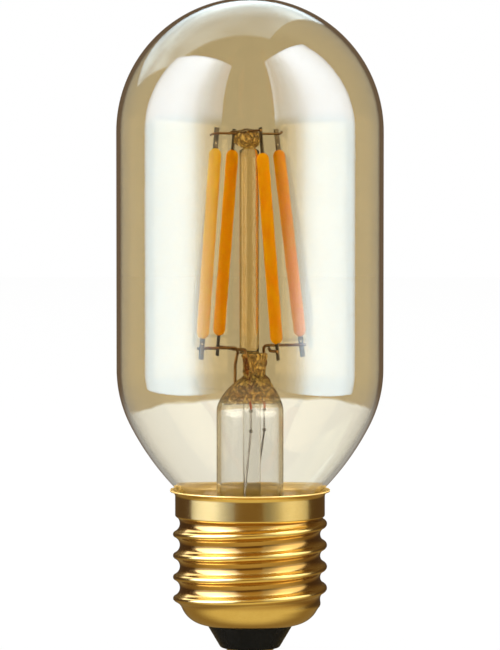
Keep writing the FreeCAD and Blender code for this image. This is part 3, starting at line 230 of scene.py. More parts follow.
def bulb_wall():
    """Both skins of the bulb, joined round the end of the neck."""
    outer = bulb_profile(0.0)
    inner = bulb_profile(GLASS_WALL)
    radius = np.concatenate([outer[0], inner[0][::-1]])
    height = np.concatenate([outer[1], inner[1][::-1]])
    radius[0] = radius[-1] = 0.0
    keep = np.ones(len(radius), bool)
    keep[1:] = np.hypot(np.diff(radius), np.diff(height)) > 1e-6
    inside = np.arange(len(radius)) >= len(outer[0])
    return grid_mesh("bulb", lathe(radius[keep], height[keep], 208), inside=inside[keep])


def stem_sections(height, skin):
    """Half width, half depth and centre of the stem at a height, for its outside (0) or inside (1).

    A straight barrel eases into an oval that grows flat towards the press.
    """
    if skin == 0:
        rise = np.clip((height - BARREL_END) / (PRESS_FOOT - BARREL_END), 0, 1)
        pull = rise ** 2.1
        wide = STEM_RADIUS + (PRESS_FOOT_HALF[0] - STEM_RADIUS) * pull
        deep = STEM_RADIUS + (PRESS_FOOT_HALF[1] - STEM_RADIUS) * rise ** 1.7
        shift = PRESS_SHIFT * rise ** 2.4
        return wide, deep, shift
    rise = np.clip((height - BARREL_END) / (CEILING - BARREL_END), 0, 1)
    bore = STEM_RADIUS - STEM_WALL
    wide = bore + (CEILING_HALF[0] - bore) * rise ** 2
    deep = bore + (CEILING_HALF[1] - bore) * rise ** 2
    return wide, deep, CEILING_SHIFT * rise


def stem_glass():
    """Flare, barrel, drawn-in shoulder and press as one skin outside and one inside.

    Each row is an oval: half width and half depth times cosine and sine, turned with the press.
    The press carries shallow waves, as pinched glass does.
    """
    around = 144
    angle = np.arange(around) / around * TURN
    bore = NECK_RADIUS - GLASS_WALL
    bend_centre = (STEM_RADIUS + FLARE_BEND, NECK_END + STEM_WALL + FLARE_BEND)
    flare = arc(bend_centre, FLARE_BEND, -math.pi / 2, -math.pi, 14)
    barrel = np.linspace(bend_centre[1], BARREL_END, 20)[1:]
    shoulder = np.linspace(BARREL_END, PRESS_FOOT, 26)[1:]
    press = np.linspace(PRESS_FOOT, PRESS_TOP - PRESS_ROUND, 18)[1:]
    inner_flare = arc(bend_centre, FLARE_BEND + STEM_WALL, -math.pi, -math.pi / 2, 14)
    inner_end = np.linspace(CEILING, BARREL_END, 14)

    rows = []

    def add(height, wide, deep, shift, wave=0.0):
        x = wide * np.cos(angle)
        y = deep * np.sin(angle)
        if wave:
            swell = np.sin(5 * angle + 1.9 * height) + 0.7 * np.sin(9 * angle - 2.7 * height)
            swell = swell + 0.5 * np.sin(14 * angle + 4.1 * height)
            x = x * (1 + wave * swell / wide)
            y = y * (1 + wave * swell / deep)
        row = np.empty((around, 3))
        row[:, 0] = x * math.cos(PRESS_TURN) - y * math.sin(PRESS_TURN) + shift
        row[:, 1] = x * math.sin(PRESS_TURN) + y * math.cos(PRESS_TURN)
        row[:, 2] = height
        rows.append(row)

    add(NECK_END + STEM_WALL, bore, bore, 0)
    for radius, height in zip(*flare):
        add(height, radius, radius, 0)
    for height in barrel:
        add(height, STEM_RADIUS, STEM_RADIUS, 0)
    for height in shoulder:
        wide, deep, shift = stem_sections(height, 0)
        wave = PRESS_WAVE * float(ease((height - BARREL_END - 2.5) / 3))
        add(height, wide, deep, shift, wave)
    top_wide, top_deep = PRESS_TOP_HALF
    for height in press:
        rise = (height - PRESS_FOOT) / (PRESS_TOP - PRESS_FOOT)
        wide = PRESS_FOOT_HALF[0] + (top_wide - PRESS_FOOT_HALF[0]) * rise
        deep = PRESS_FOOT_HALF[1] + (top_deep - PRESS_FOOT_HALF[1]) * rise
        add(height, wide, deep, PRESS_SHIFT, PRESS_WAVE)
    for step in np.linspace(0, math.pi / 2, 6)[1:]:
        drop = PRESS_ROUND * (1 - math.cos(step))
        height = PRESS_TOP - PRESS_ROUND * (1 - math.sin(step))
        add(height, top_wide - drop, top_deep - drop, PRESS_SHIFT, PRESS_WAVE * math.cos(step))
    for scale in (0.8, 0.55, 0.3, 0.0):
        add(PRESS_TOP, (top_wide - PRESS_ROUND) * scale, (top_deep - PRESS_ROUND) * scale, PRESS_SHIFT)
    for scale in (0.0, 0.4, 0.8):
        add(CEILING, CEILING_HALF[0] * scale, CEILING_HALF[1] * scale, CEILING_SHIFT)
    for height in inner_end:
        wide, deep, shift = stem_sections(height, 1)
        add(height, wide, deep, shift)
    for height in barrel[::-1]:
        add(height, STEM_RADIUS - STEM_WALL, STEM_RADIUS - STEM_WALL, 0)
    for radius, height in zip(*inner_flare):
        add(height, radius, radius, 0)
    add(NECK_END, bore, bore, 0)
    return grid_mesh("stem", np.array(rows), (True, True))


def exhaust_glass():
    """Outer skin of the thin tube: an arc at its melted tip, a straight run and a closed top."""
    tip = NECK_END - EXHAUST_OVERHANG
    rise = np.linspace(tip + EXHAUST_RADIUS, CEILING, 40)[1:]
    radius, height = chain(
        arc((0, tip + EXHAUST_RADIUS), EXHAUST_RADIUS, -math.pi / 2, 0, 12),
        (np.full_like(rise, EXHAUST_RADIUS), rise),
        ([0.0], [CEILING]),
    )
    radius[0] = 0.0
    return grid_mesh("exhaust", lathe(radius, height, 48, (EXHAUST_SHIFT, 0)))


def pillar_glass():
    """Rod with a melted foot that swells at the top to the squashed button.

    The button is an ellipse of revolution with shallow waves round it, blended into the rod.
    """
    around = 96
    angle = np.arange(around) / around * TURN
    middle = WIRE_HEIGHT - BUTTON_DROP
    foot = PRESS_TOP + PILLAR_FOOT * np.linspace(0, 1, 6)
    foot_radius = PILLAR_RADIUS + PILLAR_FOOT * (1 - np.linspace(0, 1, 6))
    low = middle - BUTTON_HALF
    rod = np.linspace(foot[-1], low - 0.3, 30)[1:]
    turn = np.linspace(-math.pi / 2 * 0.72, math.pi / 2, 30)
    rows = [lathe([0.0], [PRESS_TOP], around, (PILLAR_SHIFT, 0))[0]]
    for radius, height in zip(foot_radius, foot):
        rows.append(lathe([radius], [height], around, (PILLAR_SHIFT, 0))[0])
    for height in rod:
        rows.append(lathe([PILLAR_RADIUS], [height], around, (PILLAR_SHIFT, 0))[0])
    for step in turn:
        radius = BUTTON_RADIUS * math.cos(step)
        height = middle + BUTTON_HALF * math.sin(step)
        moved = float(ease((height - low) / 1.2))
        swell = np.sin(3 * angle + 1.1 * height) + 0.8 * np.sin(5 * angle - 2.3 * height)
        swell = swell + 0.6 * np.sin(8 * angle + 3.9 * height)
        radius = radius * (1 + 0.05 * swell * math.cos(step))
        row = np.empty((around, 3))
        row[:, 0] = PILLAR_SHIFT + (BUTTON_SHIFT - PILLAR_SHIFT) * moved + radius * np.cos(angle)
        row[:, 1] = radius * np.sin(angle)
        row[:, 2] = height
        rows.append(row)
    return grid_mesh("pillar", np.array(rows))


def screw_wave(distance):
    """Height of the thread over its root at a distance from the nearest crest.

    A round crest and a wider round root, tangent to each other half way down.
    """
    half_pitch = THREAD_PITCH / 2
    slope = 2 * math.atan(THREAD_DEPTH / half_pitch)
    root = half_pitch / math.sin(slope) - CREST_ROUND
    crest = THREAD_DEPTH - CREST_ROUND + np.sqrt(np.maximum(CREST_ROUND ** 2 - distance ** 2, 0))
    valley = root - np.sqrt(np.maximum(root ** 2 - (half_pitch - distance) ** 2, 0))
    return np.where(distance < CREST_ROUND * math.sin(slope), crest, valley)


def shell_stations():
    """Radius and height of the shell's outside without its thread: lip, skirt, wall and bowl."""
    under = RIM_HEIGHT - SHELL_WALL
    lip = np.linspace(0, math.pi / 2, 9)[:-1]
    top = under - LIP_FLARE
    bottom = SHELL_FOOT + BOWL_BEND
    wall = np.linspace(top, bottom, 150)[:-1]
    fall = ease((SKIRT_END - wall) / LIP_FLARE)
    bowl = np.linspace(0, math.pi / 2, 24)
    return chain(
        (SKIRT_RADIUS + LIP_FLARE * (1 - np.sin(lip)), under - LIP_FLARE * (1 - np.cos(lip))),
        (SKIRT_RADIUS + (ROOT_RADIUS - SKIRT_RADIUS) * fall, wall),
        (HOLE_RADIUS + BOWL_BEND * np.cos(bowl), bottom - BOWL_BEND * np.sin(bowl)),
    )


def cap_shell():
    """Outside of the shell with its rolled thread, and an inside one sheet thickness in.

    The radius is the greater of the plain wall and the root plus the wave, whose crest climbs one
    pitch in a turn. The wave fades out into the skirt above and into the bowl below.
    """
    around = 240
    radius, height = shell_stations()
    turn = np.arange(around) / around
    phase = (height[:, None] - THREAD_PHASE) / THREAD_PITCH - turn[None, :]
    distance = np.abs(phase - np.round(phase)) * THREAD_PITCH
    wave = screw_wave(distance)
    fade_up = ease((SKIRT_END - height) / LIP_FLARE)[:, None]
    fade_down = ease((height - THREAD_FOOT) / THREAD_FADE)[:, None]
    plain = np.repeat(radius[:, None], around, axis=1)
    threaded = np.maximum(plain, ROOT_RADIUS + wave * fade_up)
    in_bowl = height[:, None] < SHELL_FOOT + BOWL_BEND
    outside = np.where(in_bowl, plain + wave * fade_down, threaded)
    rise = np.repeat(height[:, None], around, axis=1)
    across = np.gradient(outside, axis=0)
    down = np.gradient(rise, axis=0)
    across[0] = across[-1] = -1.0
    down[0] = down[-1] = 0.0
    length = np.hypot(across, down)
    inside = outside + SHELL_WALL * down / length
    inside_rise = rise - SHELL_WALL * across / length
    grid = np.empty((2 * len(radius), around, 3))
    skins = ((0, outside, rise), (len(radius), inside[::-1], inside_rise[::-1]))
    for start, skin, level in skins:
        grid[start:start + len(radius), :, 0] = skin * np.cos(turn * TURN)
        grid[start:start + len(radius), :, 1] = skin * np.sin(turn * TURN)
        grid[start:start + len(radius), :, 2] = level
    inner_rows = np.arange(2 * len(radius)) >= len(radius)
    return grid_mesh("cap_shell", grid, (True, True), inside=inner_rows)


def insulator_block():
    """Cone under the shell with softly rounded edges, and the flat that carries the board."""
    collar = HOLE_RADIUS - INSULATOR_GAP
    seat = SHELL_FOOT + SHELL_WALL + INSULATOR_GAP
    bend = BOWL_BEND - SHELL_WALL - INSULATOR_GAP
    drop = SHELL_FOOT + BOWL_BEND - INSULATOR_TOP
    turn = math.asin(drop / bend)
    steep = math.atan2(SHELL_FOOT - TIP_HEIGHT, collar - TIP_RADIUS)
    inset = TIP_BEND * math.tan(steep / 2)
    edge_centre = (TIP_RADIUS - inset, TIP_HEIGHT + TIP_BEND)
    tip = arc(edge_centre, TIP_BEND, -math.pi / 2, steep - math.pi / 2, 7)
    bulge = arc((HOLE_RADIUS, SHELL_FOOT + BOWL_BEND), bend, -math.pi / 2, -turn, 18)
    lean = np.linspace(0.06, 0.98, 10)
    cone = (tip[0][-1] + (collar - tip[0][-1]) * lean, tip[1][-1] + (SHELL_FOOT - tip[1][-1]) * lean)
    recess = CONTACT_RADIUS + INSULATOR_GAP
    floor = TIP_HEIGHT + CONTACT_SHEET
    radius, height = chain(
        ([INSULATOR_BORE, INSULATOR_BORE, recess, recess], [INSULATOR_TOP, floor, floor, TIP_HEIGHT]),
        tip,
        cone,
        ([collar, collar], [SHELL_FOOT, seat]),
        bulge,
    )
    return grid_mesh("insulator_cone", lathe(radius, height, 160), (True, True))


def contact_disc():
    """Pressed disc with a turned-down edge and the eye for the solder."""
    edge = arc((CONTACT_RADIUS - CONTACT_SHEET, CONTACT_SHEET), CONTACT_SHEET, -math.pi / 2, 0, 10)
    top = TIP_HEIGHT + CONTACT_SHEET
    radius, height = chain(
        ([0.9, 0.9, 1.05, 1.5], [top, 0.15, 0.0, 0.0]),
        edge,
        ([CONTACT_RADIUS], [top]),
    )
    return grid_mesh("contact_disc", lathe(radius, height, 120), (True, True))


def circle_point(radius, degrees, shift=0.0):
    """Level point on a circle about the axis, moved along X."""
    turn = math.radians(degrees)
    return np.array([radius * math.cos(turn) + shift, radius * math.sin(turn), 0.0])


def filament_frames():
    """Middle point and three axes of each filament, as in the construction.

    A filament runs from a foot circle to a head circle; its first axis points away from the pillar.
    """
    frames = {}
    for name, side, pair_shift in FILAMENT_PLACES:
        foot = circle_point(FOOT_CIRCLE, FOOT_ANGLE + side, pair_shift)
        head = circle_point(HEAD_CIRCLE, HEAD_ANGLE + side, HEAD_SHIFT)
        lean = head - foot
        rise = math.sqrt(COAT_LENGTH ** 2 - lean[0] ** 2 - lean[1] ** 2)
        lean[2] = rise
        foot[2] = PRESS_TOP + FOOT_RISE + FOOT_WELD * rise / COAT_LENGTH
        along = lean / np.linalg.norm(lean)
        radial = circle_point(1.0, (FOOT_ANGLE + HEAD_ANGLE) / 2 + side)
        across = np.cross(along, radial)
        across /= np.linalg.norm(across)
        outward = np.cross(across, along)
        frames[name] = (foot + lean / 2, outward, across, along)
    return frames


def phosphor_coat(name, slip, seed):
    """Moulded coat with blunt ends: a circle swept along the filament.

    Its radius swells and shrinks by a few hundredths of a millimetre along it, and the ends are
    quarter ellipses.
    """
    middle, outward, across, along = FILAMENTS[name]
    half = COAT_LENGTH / 2
    tip = np.linspace(0, math.pi / 2, 12)
    low_end = (COAT_RADIUS * np.sin(tip), -half + COAT_END * (1 - np.cos(tip)))
    body = np.linspace(-half + COAT_END, half - COAT_END, 90)[1:-1]
    waves = 0.018 * np.sin(0.9 * body + seed) + 0.012 * np.sin(2.3 * body + 2 * seed)
    run = chain(
        low_end,
        (COAT_RADIUS + waves * ease((half - COAT_END - np.abs(body)) / 2), body),
        (low_end[0][::-1], -low_end[1][::-1]),
    )
    around = np.arange(40) / 40 * TURN
    drop = run[1] - slip
    centre = middle + drop[:, None] * along
    ring = np.cos(around)[None, :, None] * outward + np.sin(around)[None, :, None] * across
    grid = centre[:, None, :] + run[0][:, None, None] * ring
    return grid_mesh("phosphor_" + name, grid)


FILAMENTS = filament_frames()
WIRE_HEIGHT = FILAMENTS["a"][0][2] + FILAMENTS["a"][3][2] * (COAT_LENGTH / 2 + HEAD_WELD)


# Shader helpers


def new_material(name, **values):
    """Node material with a Principled shader, whose unlinked inputs are set by name."""
    material = bpy.data.materials.new(name)
    material.use_nodes = True
    tree = material.node_tree
    tree.nodes.clear()
    shader = node(tree, "BsdfPrincipled", **values)
    node(tree, "OutputMaterial", Surface=shader.outputs["BSDF"])
    return material, tree, shader


def put(tree, value, socket):
    """Links an output to an input, or sets the input to a number, a vector or a colour."""
    if isinstance(value, bpy.types.NodeSocket):
        tree.links.new(value, socket)
    elif socket.type == "RGBA":
        socket.default_value = (*value, 1.0)
    else:
        socket.default_value = value


def feed(tree, made, **values):
    """Sets or links the inputs of a node by name, "_" standing for a space."""
    for key, value in values.items():
        put(tree, value, made.inputs[key.replace("_", " ")])


def node(tree, kind, **values):
    """New node with its properties and inputs set or linked by name."""
    made = tree.nodes.new("ShaderNode" + kind)
    for key, value in values.items():
        if hasattr(made, key):
            setattr(made, key, value)
        else:
            feed(tree, made, **{key: value})
    return made


def maths(tree, operation, first, second=None, clamp=False):
    """Math node on two sockets or numbers; returns its output."""
    made = node(tree, "Math", operation=operation, use_clamp=clamp)
    put(tree, first, made.inputs[0])
    if second is not None:
        put(tree, second, made.inputs[1])
    return made.outputs[0]


def times(tree, first, second, clamp=False):
    """Product of two sockets or numbers."""
    return maths(tree, "MULTIPLY", first, second, clamp)


def plus(tree, first, second, clamp=False):
    """Sum of two sockets or numbers."""
    return maths(tree, "ADD", first, second, clamp)


def minus(tree, first, second, clamp=False):
    """First of two sockets or numbers less the second."""
    return maths(tree, "SUBTRACT", first, second, clamp)


def ramp(tree, factor, stops):
    """Colour ramp on a factor, from (position, colour) pairs."""
    made = node(tree, "ValToRGB", Fac=factor)
    elements = made.color_ramp.elements
    while len(elements) < len(stops):
        elements.new(0.5)
    for element, (position, colour) in zip(elements, stops):
        element.position = position
        element.color = (*colour, 1.0)
    return made.outputs["Color"]


def mix(tree, factor, first, second):
    """Colour mix of two sockets or colours."""
    made = node(tree, "Mix", data_type="RGBA")
    for index, value in ((0, factor), (6, first), (7, second)):
        put(tree, value, made.inputs[index])
    return made.outputs[2]


def blend(tree, factor, first, second):
    """Number that goes from the first to the second as the factor goes from 0 to 1."""
    made = node(tree, "Mix")
    for index, value in ((0, factor), (2, first), (3, second)):
        put(tree, value, made.inputs[index])
    return made.outputs[0]


def mix_shader(tree, factor, first, second):
    """Mix of two shaders by a factor."""
    made = node(tree, "MixShader")
    for index, value in enumerate((factor, first, second)):
        put(tree, value, made.inputs[index])
    return made.outputs[0]


def dot(tree, vector, along):
    """Dot product of a vector socket and three numbers."""
    made = node(tree, "VectorMath", operation="DOT_PRODUCT", Vector=vector)
    made.inputs[1].default_value = along
    return made.outputs["Value"]


def object_point(tree, scale=(1, 1, 1)):
    """Object coordinates, stretched by a Mapping node."""
    where = node(tree, "TexCoord").outputs["Object"]
    return node(tree, "Mapping", Scale=scale, Vector=where).outputs["Vector"]


def noise(tree, vector, scale, detail=3.0, rough=0.5):
    """Noise between 0 and 1 on a vector."""
    return node(tree, "TexNoise", Scale=scale, Detail=detail, Roughness=rough, Vector=vector).outputs["Fac"]


def bump(tree, shader, height, distance, strength=1.0):
    """Small relief on the shader from a height."""
    made = node(tree, "Bump", Distance=distance, Strength=strength, Height=height)
    feed(tree, shader, Normal=made.outputs["Normal"])


def set_range(tree, factor, low, high):
    """Maps a factor from 0..1 to low..high."""
    return node(tree, "MapRange", To_Min=low, To_Max=high, Value=factor).outputs["Result"]


def smooth_step(tree, value, none, full):
    """Smooth step of a value: 0 at the first place and 1 at the second."""
    made = node(tree, "MapRange", interpolation_type="SMOOTHSTEP", From_Min=none, From_Max=full, Value=value)
    return made.outputs["Result"]


def share(tree, vector, axis, none, full):
    """Smooth step of one part of a vector."""
    return smooth_step(tree, node(tree, "SeparateXYZ", Vector=vector).outputs[axis], none, full)


def inner_skin(tree):
    """1 on the inner skin of a piece that carries that attribute, 0 on its outside."""
    return node(tree, "Attribute", attribute_name="inner_skin").outputs["Fac"]


def open_group(name, inputs, outputs):
    """Empty shader node group with its sockets, and its input and output nodes."""
    group = bpy.data.node_groups.new(name, "ShaderNodeTree")
    for in_out, sockets in (("INPUT", inputs), ("OUTPUT", outputs)):
        for socket, kind in sockets:
            group.interface.new_socket(socket, in_out=in_out, socket_type="NodeSocket" + kind)
    return group, group.nodes.new("NodeGroupInput"), group.nodes.new("NodeGroupOutput")


def worn_group():
    """Group: mottled colour and roughness from two scales of noise over the surface.

    The colour is mixed towards a second one where the noise is high; the roughness follows it.
    """
    group, entry, leave = open_group(
        "mottled_surface",
        (("Color A", "Color"), ("Color B", "Color"), ("Scale", "Float"), ("Amount", "Float"),
         ("Rough Low", "Float"), ("Rough High", "Float")),
        (("Color", "Color"), ("Roughness", "Float"), ("Height", "Float")),
    )
    where = object_point(group)
    scale = entry.outputs["Scale"]
    coarse = noise(group, where, scale, 4.0, 0.6)
    fine = noise(group, where, times(group, scale, 6.3), 3.0, 0.6)
    both = plus(group, times(group, coarse, 0.65), times(group, fine, 0.35))
    spread = times(group, minus(group, both, 0.34), 3.1, clamp=True)
    amount = times(group, spread, entry.outputs["Amount"])
    colour = mix(group, amount, entry.outputs["Color A"], entry.outputs["Color B"])
    lift = minus(group, entry.outputs["Rough High"], entry.outputs["Rough Low"])
    rough = plus(group, entry.outputs["Rough Low"], times(group, lift, spread))
    feed(group, leave, Color=colour, Roughness=rough, Height=both)
    return group


MOTTLED = worn_group()


def mottled(tree, first, second, scale, amount, rough):
    """Places the mottled surface group with its own values."""
    return node(tree, "Group", node_tree=MOTTLED, Color_A=first, Color_B=second, Scale=scale, Amount=amount,
                Rough_Low=rough[0], Rough_High=rough[1])


def plain_finish(name, first, second, scale, rough, metallic=0.0, height=0.0, specular=0.5):
    """Material whose colour, roughness and small bumps come from the mottled surface group."""
    material, tree, shader = new_material(name, Metallic=metallic, Specular_IOR_Level=specular)
    made = mottled(tree, first, second, scale, 1.0, rough)
    feed(tree, shader, Base_Color=made.outputs["Color"], Roughness=made.outputs["Roughness"])
    if height:
        bump(tree, shader, made.outputs["Height"], height)
    return material


def facing(tree, power):
    """Rises from 0 where a surface faces the eye to 1 where it is seen edge-on."""
    weight = node(tree, "LayerWeight", Blend=0.5)
    return maths(tree, "POWER", weight.outputs["Facing"], power)


def bulb_glass():
    """Clear glass with a cream cast. Its inner skin is coated amber above an uneven line."""
    material, tree, shader = new_material("bulb_glass", Transmission_Weight=1.0, IOR=1.5, Roughness=0.0)
    where = node(tree, "TexCoord").outputs["Object"]
    split = node(tree, "SeparateXYZ", Vector=where)
    side = times(tree, split.outputs["X"], 1 / (BULB_RADIUS * MM))
    front = times(tree, split.outputs["Y"], 1 / (BULB_RADIUS * MM))
    droop = maths(tree, "POWER", maths(tree, "ABSOLUTE", side), 4.0)
    edge = minus(tree, COAT_EDGE * MM, times(tree, front, COAT_EDGE_LEAN * MM))
    edge = minus(tree, edge, times(tree, droop, COAT_EDGE_DROOP * MM))
    edge = plus(tree, edge, times(tree, side, COAT_EDGE_TILT * MM))
    ripple = minus(tree, noise(tree, where, 160.0, 2.0), 0.5)
    edge = plus(tree, edge, times(tree, ripple, COAT_EDGE_RIPPLE * MM))
    above = minus(tree, split.outputs["Z"], edge)
    mask = plus(tree, times(tree, above, 1 / (COAT_EDGE_FADE * MM)), 0.5, clamp=True)
    cloud = noise(tree, where, 45.0, 2.0)
    amber = mix(tree, cloud, (0.485, 0.37, 0.183), (0.535, 0.425, 0.236))
    inner = mix(tree, mask, (0.93, 0.905, 0.82), amber)
    feed(tree, shader, Base_Color=mix(tree, inner_skin(tree), (0.97, 0.95, 0.865), inner))
    return material


def folded_group():
    """Group: glass folded by pinching above a height, as colour with painted light and shade, relief and a
    painted glow.

    Noise gives the folds. Their colour is painted light and shade: dark as painted shade where the noise is a
    half, bright gold as painted glints on both sides. The glow of the glints grows with the distance from
    that middle. The mask goes from 0 to 1 round the height.
    """
    group, entry, leave = open_group(
        "folded_glass",
        (("Foot", "Float"),),
        (("Color", "Color"), ("Mask", "Float"), ("Relief", "Float"), ("Glint", "Float")),
    )
    split = node(group, "SeparateXYZ", Vector=object_point(group))
    above = minus(group, split.outputs["Z"], entry.outputs["Foot"])
    above = smooth_step(group, above, -FOLD_FADE * MM, FOLD_FADE * MM)
    folds = noise(group, object_point(group, (1, 1.6, 0.7)), 900.0, 3.0, 0.65)
    # painted light and shade: the dark middles of the folds are painted shade, their bright sides painted
    # glints
    fold_light_and_shade = ramp(group, folds, (
        (0.38, (0.86, 0.60, 0.20)),
        (0.46, (0.58, 0.36, 0.11)),
        (0.50, (0.12, 0.05, 0.01)),
        (0.54, (0.50, 0.31, 0.10)),
        (0.63, (0.95, 0.80, 0.42)),
    ))
    from_middle = maths(group, "ABSOLUTE", minus(group, folds, 0.5))
    # painted glints: how strongly the bright sides of the folds glow, which the glass gives off as emission
    painted_glint = times(group, smooth_step(group, from_middle, 0.05, 0.16), above)
    feed(group, leave, Color=fold_light_and_shade, Mask=above, Relief=times(group, folds, above), Glint=painted_glint)
    return group


# Millimetres below and above the foot of the folds in which they come up
FOLD_FADE = 0.3
FOLDED = folded_group()


def clear_glass(name, body, painted_edge_shade, power, pinched=None, painted_glint=0.0):
    """Solid clear glass, a little streaked along its length, with painted shade that darkens its edges.

    pinched is the height in millimetres above which the glass is folded, its colour there painted with light
    and shade, and glint the strength of a painted glow on the glints of its folds.
    """
    material, tree, shader = new_material(name, Transmission_Weight=1.0, IOR=1.5)
    streak = noise(tree, object_point(tree, (1, 1, 0.12)), 900.0, 3.0)
    tint = mix(tree, streak, body, tuple(0.93 * part for part in body))
    # painted shade: the colour darkens towards the edge colour where the glass is seen edge-on
    colour = mix(tree, facing(tree, power), tint, painted_edge_shade)
    if pinched:
        made = node(tree, "Group", node_tree=FOLDED, Foot=pinched * MM)
        bump(tree, shader, made.outputs["Relief"], 0.8 * MM)
        colour = mix(tree, made.outputs["Mask"], colour, made.outputs["Color"])
        # painted light: the glints of the folds glow gold as emission
        strength = times(tree, made.outputs["Glint"], painted_glint)
        feed(tree, shader, Emission_Strength=strength, Emission_Color=(0.90, 0.62, 0.16))
    feed(tree, shader, Base_Color=colour, Roughness=set_range(tree, streak, 0.0, 0.03))
    return material


def cap_metal():
    """Gold-coloured rolled sheet: fine lines round it, faint mottling, painted shade in the thread roots,
    matt inside with a painted glow.
    """
    # painted light: the inside of the shell glows faintly gold, in place of light that reaches it past the
    # glass
    material, tree, shader = new_material("cap_gold", Emission_Color=(0.80, 0.48, 0.10))
    made = mottled(tree, (0.93, 0.65, 0.24), (0.87, 0.58, 0.18), 380.0, 0.8, (0.12, 0.19))
    radius = node(tree, "VectorMath", operation="LENGTH", Vector=object_point(tree, (1, 1, 0)))
    # painted shade: the thread roots above the bowl are painted a darker brown where the crests shade them
    root = smooth_step(tree, radius.outputs["Value"], (CREST_RADIUS - 0.6) * MM, (ROOT_RADIUS + 0.05) * MM)
    bowl_top = SHELL_FOOT + BOWL_BEND
    threaded = share(tree, object_point(tree), "Z", (bowl_top - 1.2) * MM, bowl_top * MM)
    colour = mix(tree, times(tree, root, threaded), made.outputs["Color"], (0.55, 0.31, 0.09))
    lines = noise(tree, object_point(tree, (0.25, 0.25, 9.0)), 900.0, 2.0)
    rough = plus(tree, made.outputs["Roughness"], times(tree, lines, 0.05))
    skin = inner_skin(tree)
    # painted light: emission on the inner skin only
    feed(tree, shader, Base_Color=colour, Roughness=rough, Metallic=set_range(tree, skin, 1.0, 0.15),
         Emission_Strength=set_range(tree, skin, 0.0, 0.22))
    bump(tree, shader, lines, 0.012 * MM, 0.6)
    return material


def phosphor():
    """Orange phosphor in silicone: slightly translucent, with a fine grain. The left coat is yellower."""
    material, tree, shader = new_material(
        "phosphor_coat",
        Specular_IOR_Level=0.06,
        Subsurface_Weight=0.35,
        Subsurface_Radius=(1.0, 0.45, 0.08),
        Subsurface_Scale=0.7 * MM,
    )
    made = mottled(tree, (0.88, 0.34, 0.0), (0.90, 0.46, 0.002), 300.0, 1.0, (0.5, 0.65))
    place = dot(tree, object_point(tree), (1 / MM, 0.0, -LEFT_COAT_LEAN))
    left = minus(tree, LEFT_COAT_LIMIT, place, clamp=True)
    colour = mix(tree, left, made.outputs["Color"], (0.90, 0.60, 0.04))
    feed(tree, shader, Base_Color=colour, Roughness=made.outputs["Roughness"])
    bump(tree, shader, noise(tree, object_point(tree), 5200.0, 2.0), 0.02 * MM, 0.5)
    return material


# Line to the right of the left coat: millimetres that it leans in a metre, and its place at height 0
LEFT_COAT_LEAN = 71.6
LEFT_COAT_LIMIT = -10.4


def smooth_cad_group():
    """Geometry nodes: joins the loose triangles of a CAD node and shades it smooth up to 35 degrees."""
    group = bpy.data.node_groups.new("smooth_cad", "GeometryNodeTree")
    group.interface.new_socket("Geometry", in_out="INPUT", socket_type="NodeSocketGeometry")
    group.interface.new_socket("Geometry", in_out="OUTPUT", socket_type="NodeSocketGeometry")
    entry = group.nodes.new("NodeGroupInput")
    leave = group.nodes.new("NodeGroupOutput")
    merge = group.nodes.new("GeometryNodeMergeByDistance")
    merge.inputs["Distance"].default_value = 1e-6
    angle = group.nodes.new("GeometryNodeInputMeshEdgeAngle")
    flat = group.nodes.new("FunctionNodeCompare")
    flat.operation = "GREATER_THAN"
    flat.inputs[1].default_value = math.radians(35)
    faces = group.nodes.new("GeometryNodeSetShadeSmooth")
    edges = group.nodes.new("GeometryNodeSetShadeSmooth")
    edges.domain = "EDGE"
    edges.inputs["Shade Smooth"].default_value = False
    links = group.links
    links.new(entry.outputs[0], merge.inputs["Geometry"])
    links.new(merge.outputs["Geometry"], faces.inputs["Geometry"])
    links.new(faces.outputs["Geometry"], edges.inputs["Geometry"])
    links.new(angle.outputs["Unsigned Angle"], flat.inputs[0])
    links.new(flat.outputs["Result"], edges.inputs["Selection"])
    links.new(edges.outputs["Geometry"], leave.inputs[0])
    return group


def dress_cad(material, *names):
    """Gives CAD nodes a finished material and smooth shading."""
    for name in names:
        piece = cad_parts[name]
        for slot in piece.material_slots:
            slot.link = "OBJECT"
            slot.material = material
        modifier = piece.modifiers.new("smooth", "NODES")
        modifier.node_group = SMOOTH_CAD


SMOOTH_CAD = smooth_cad_group()
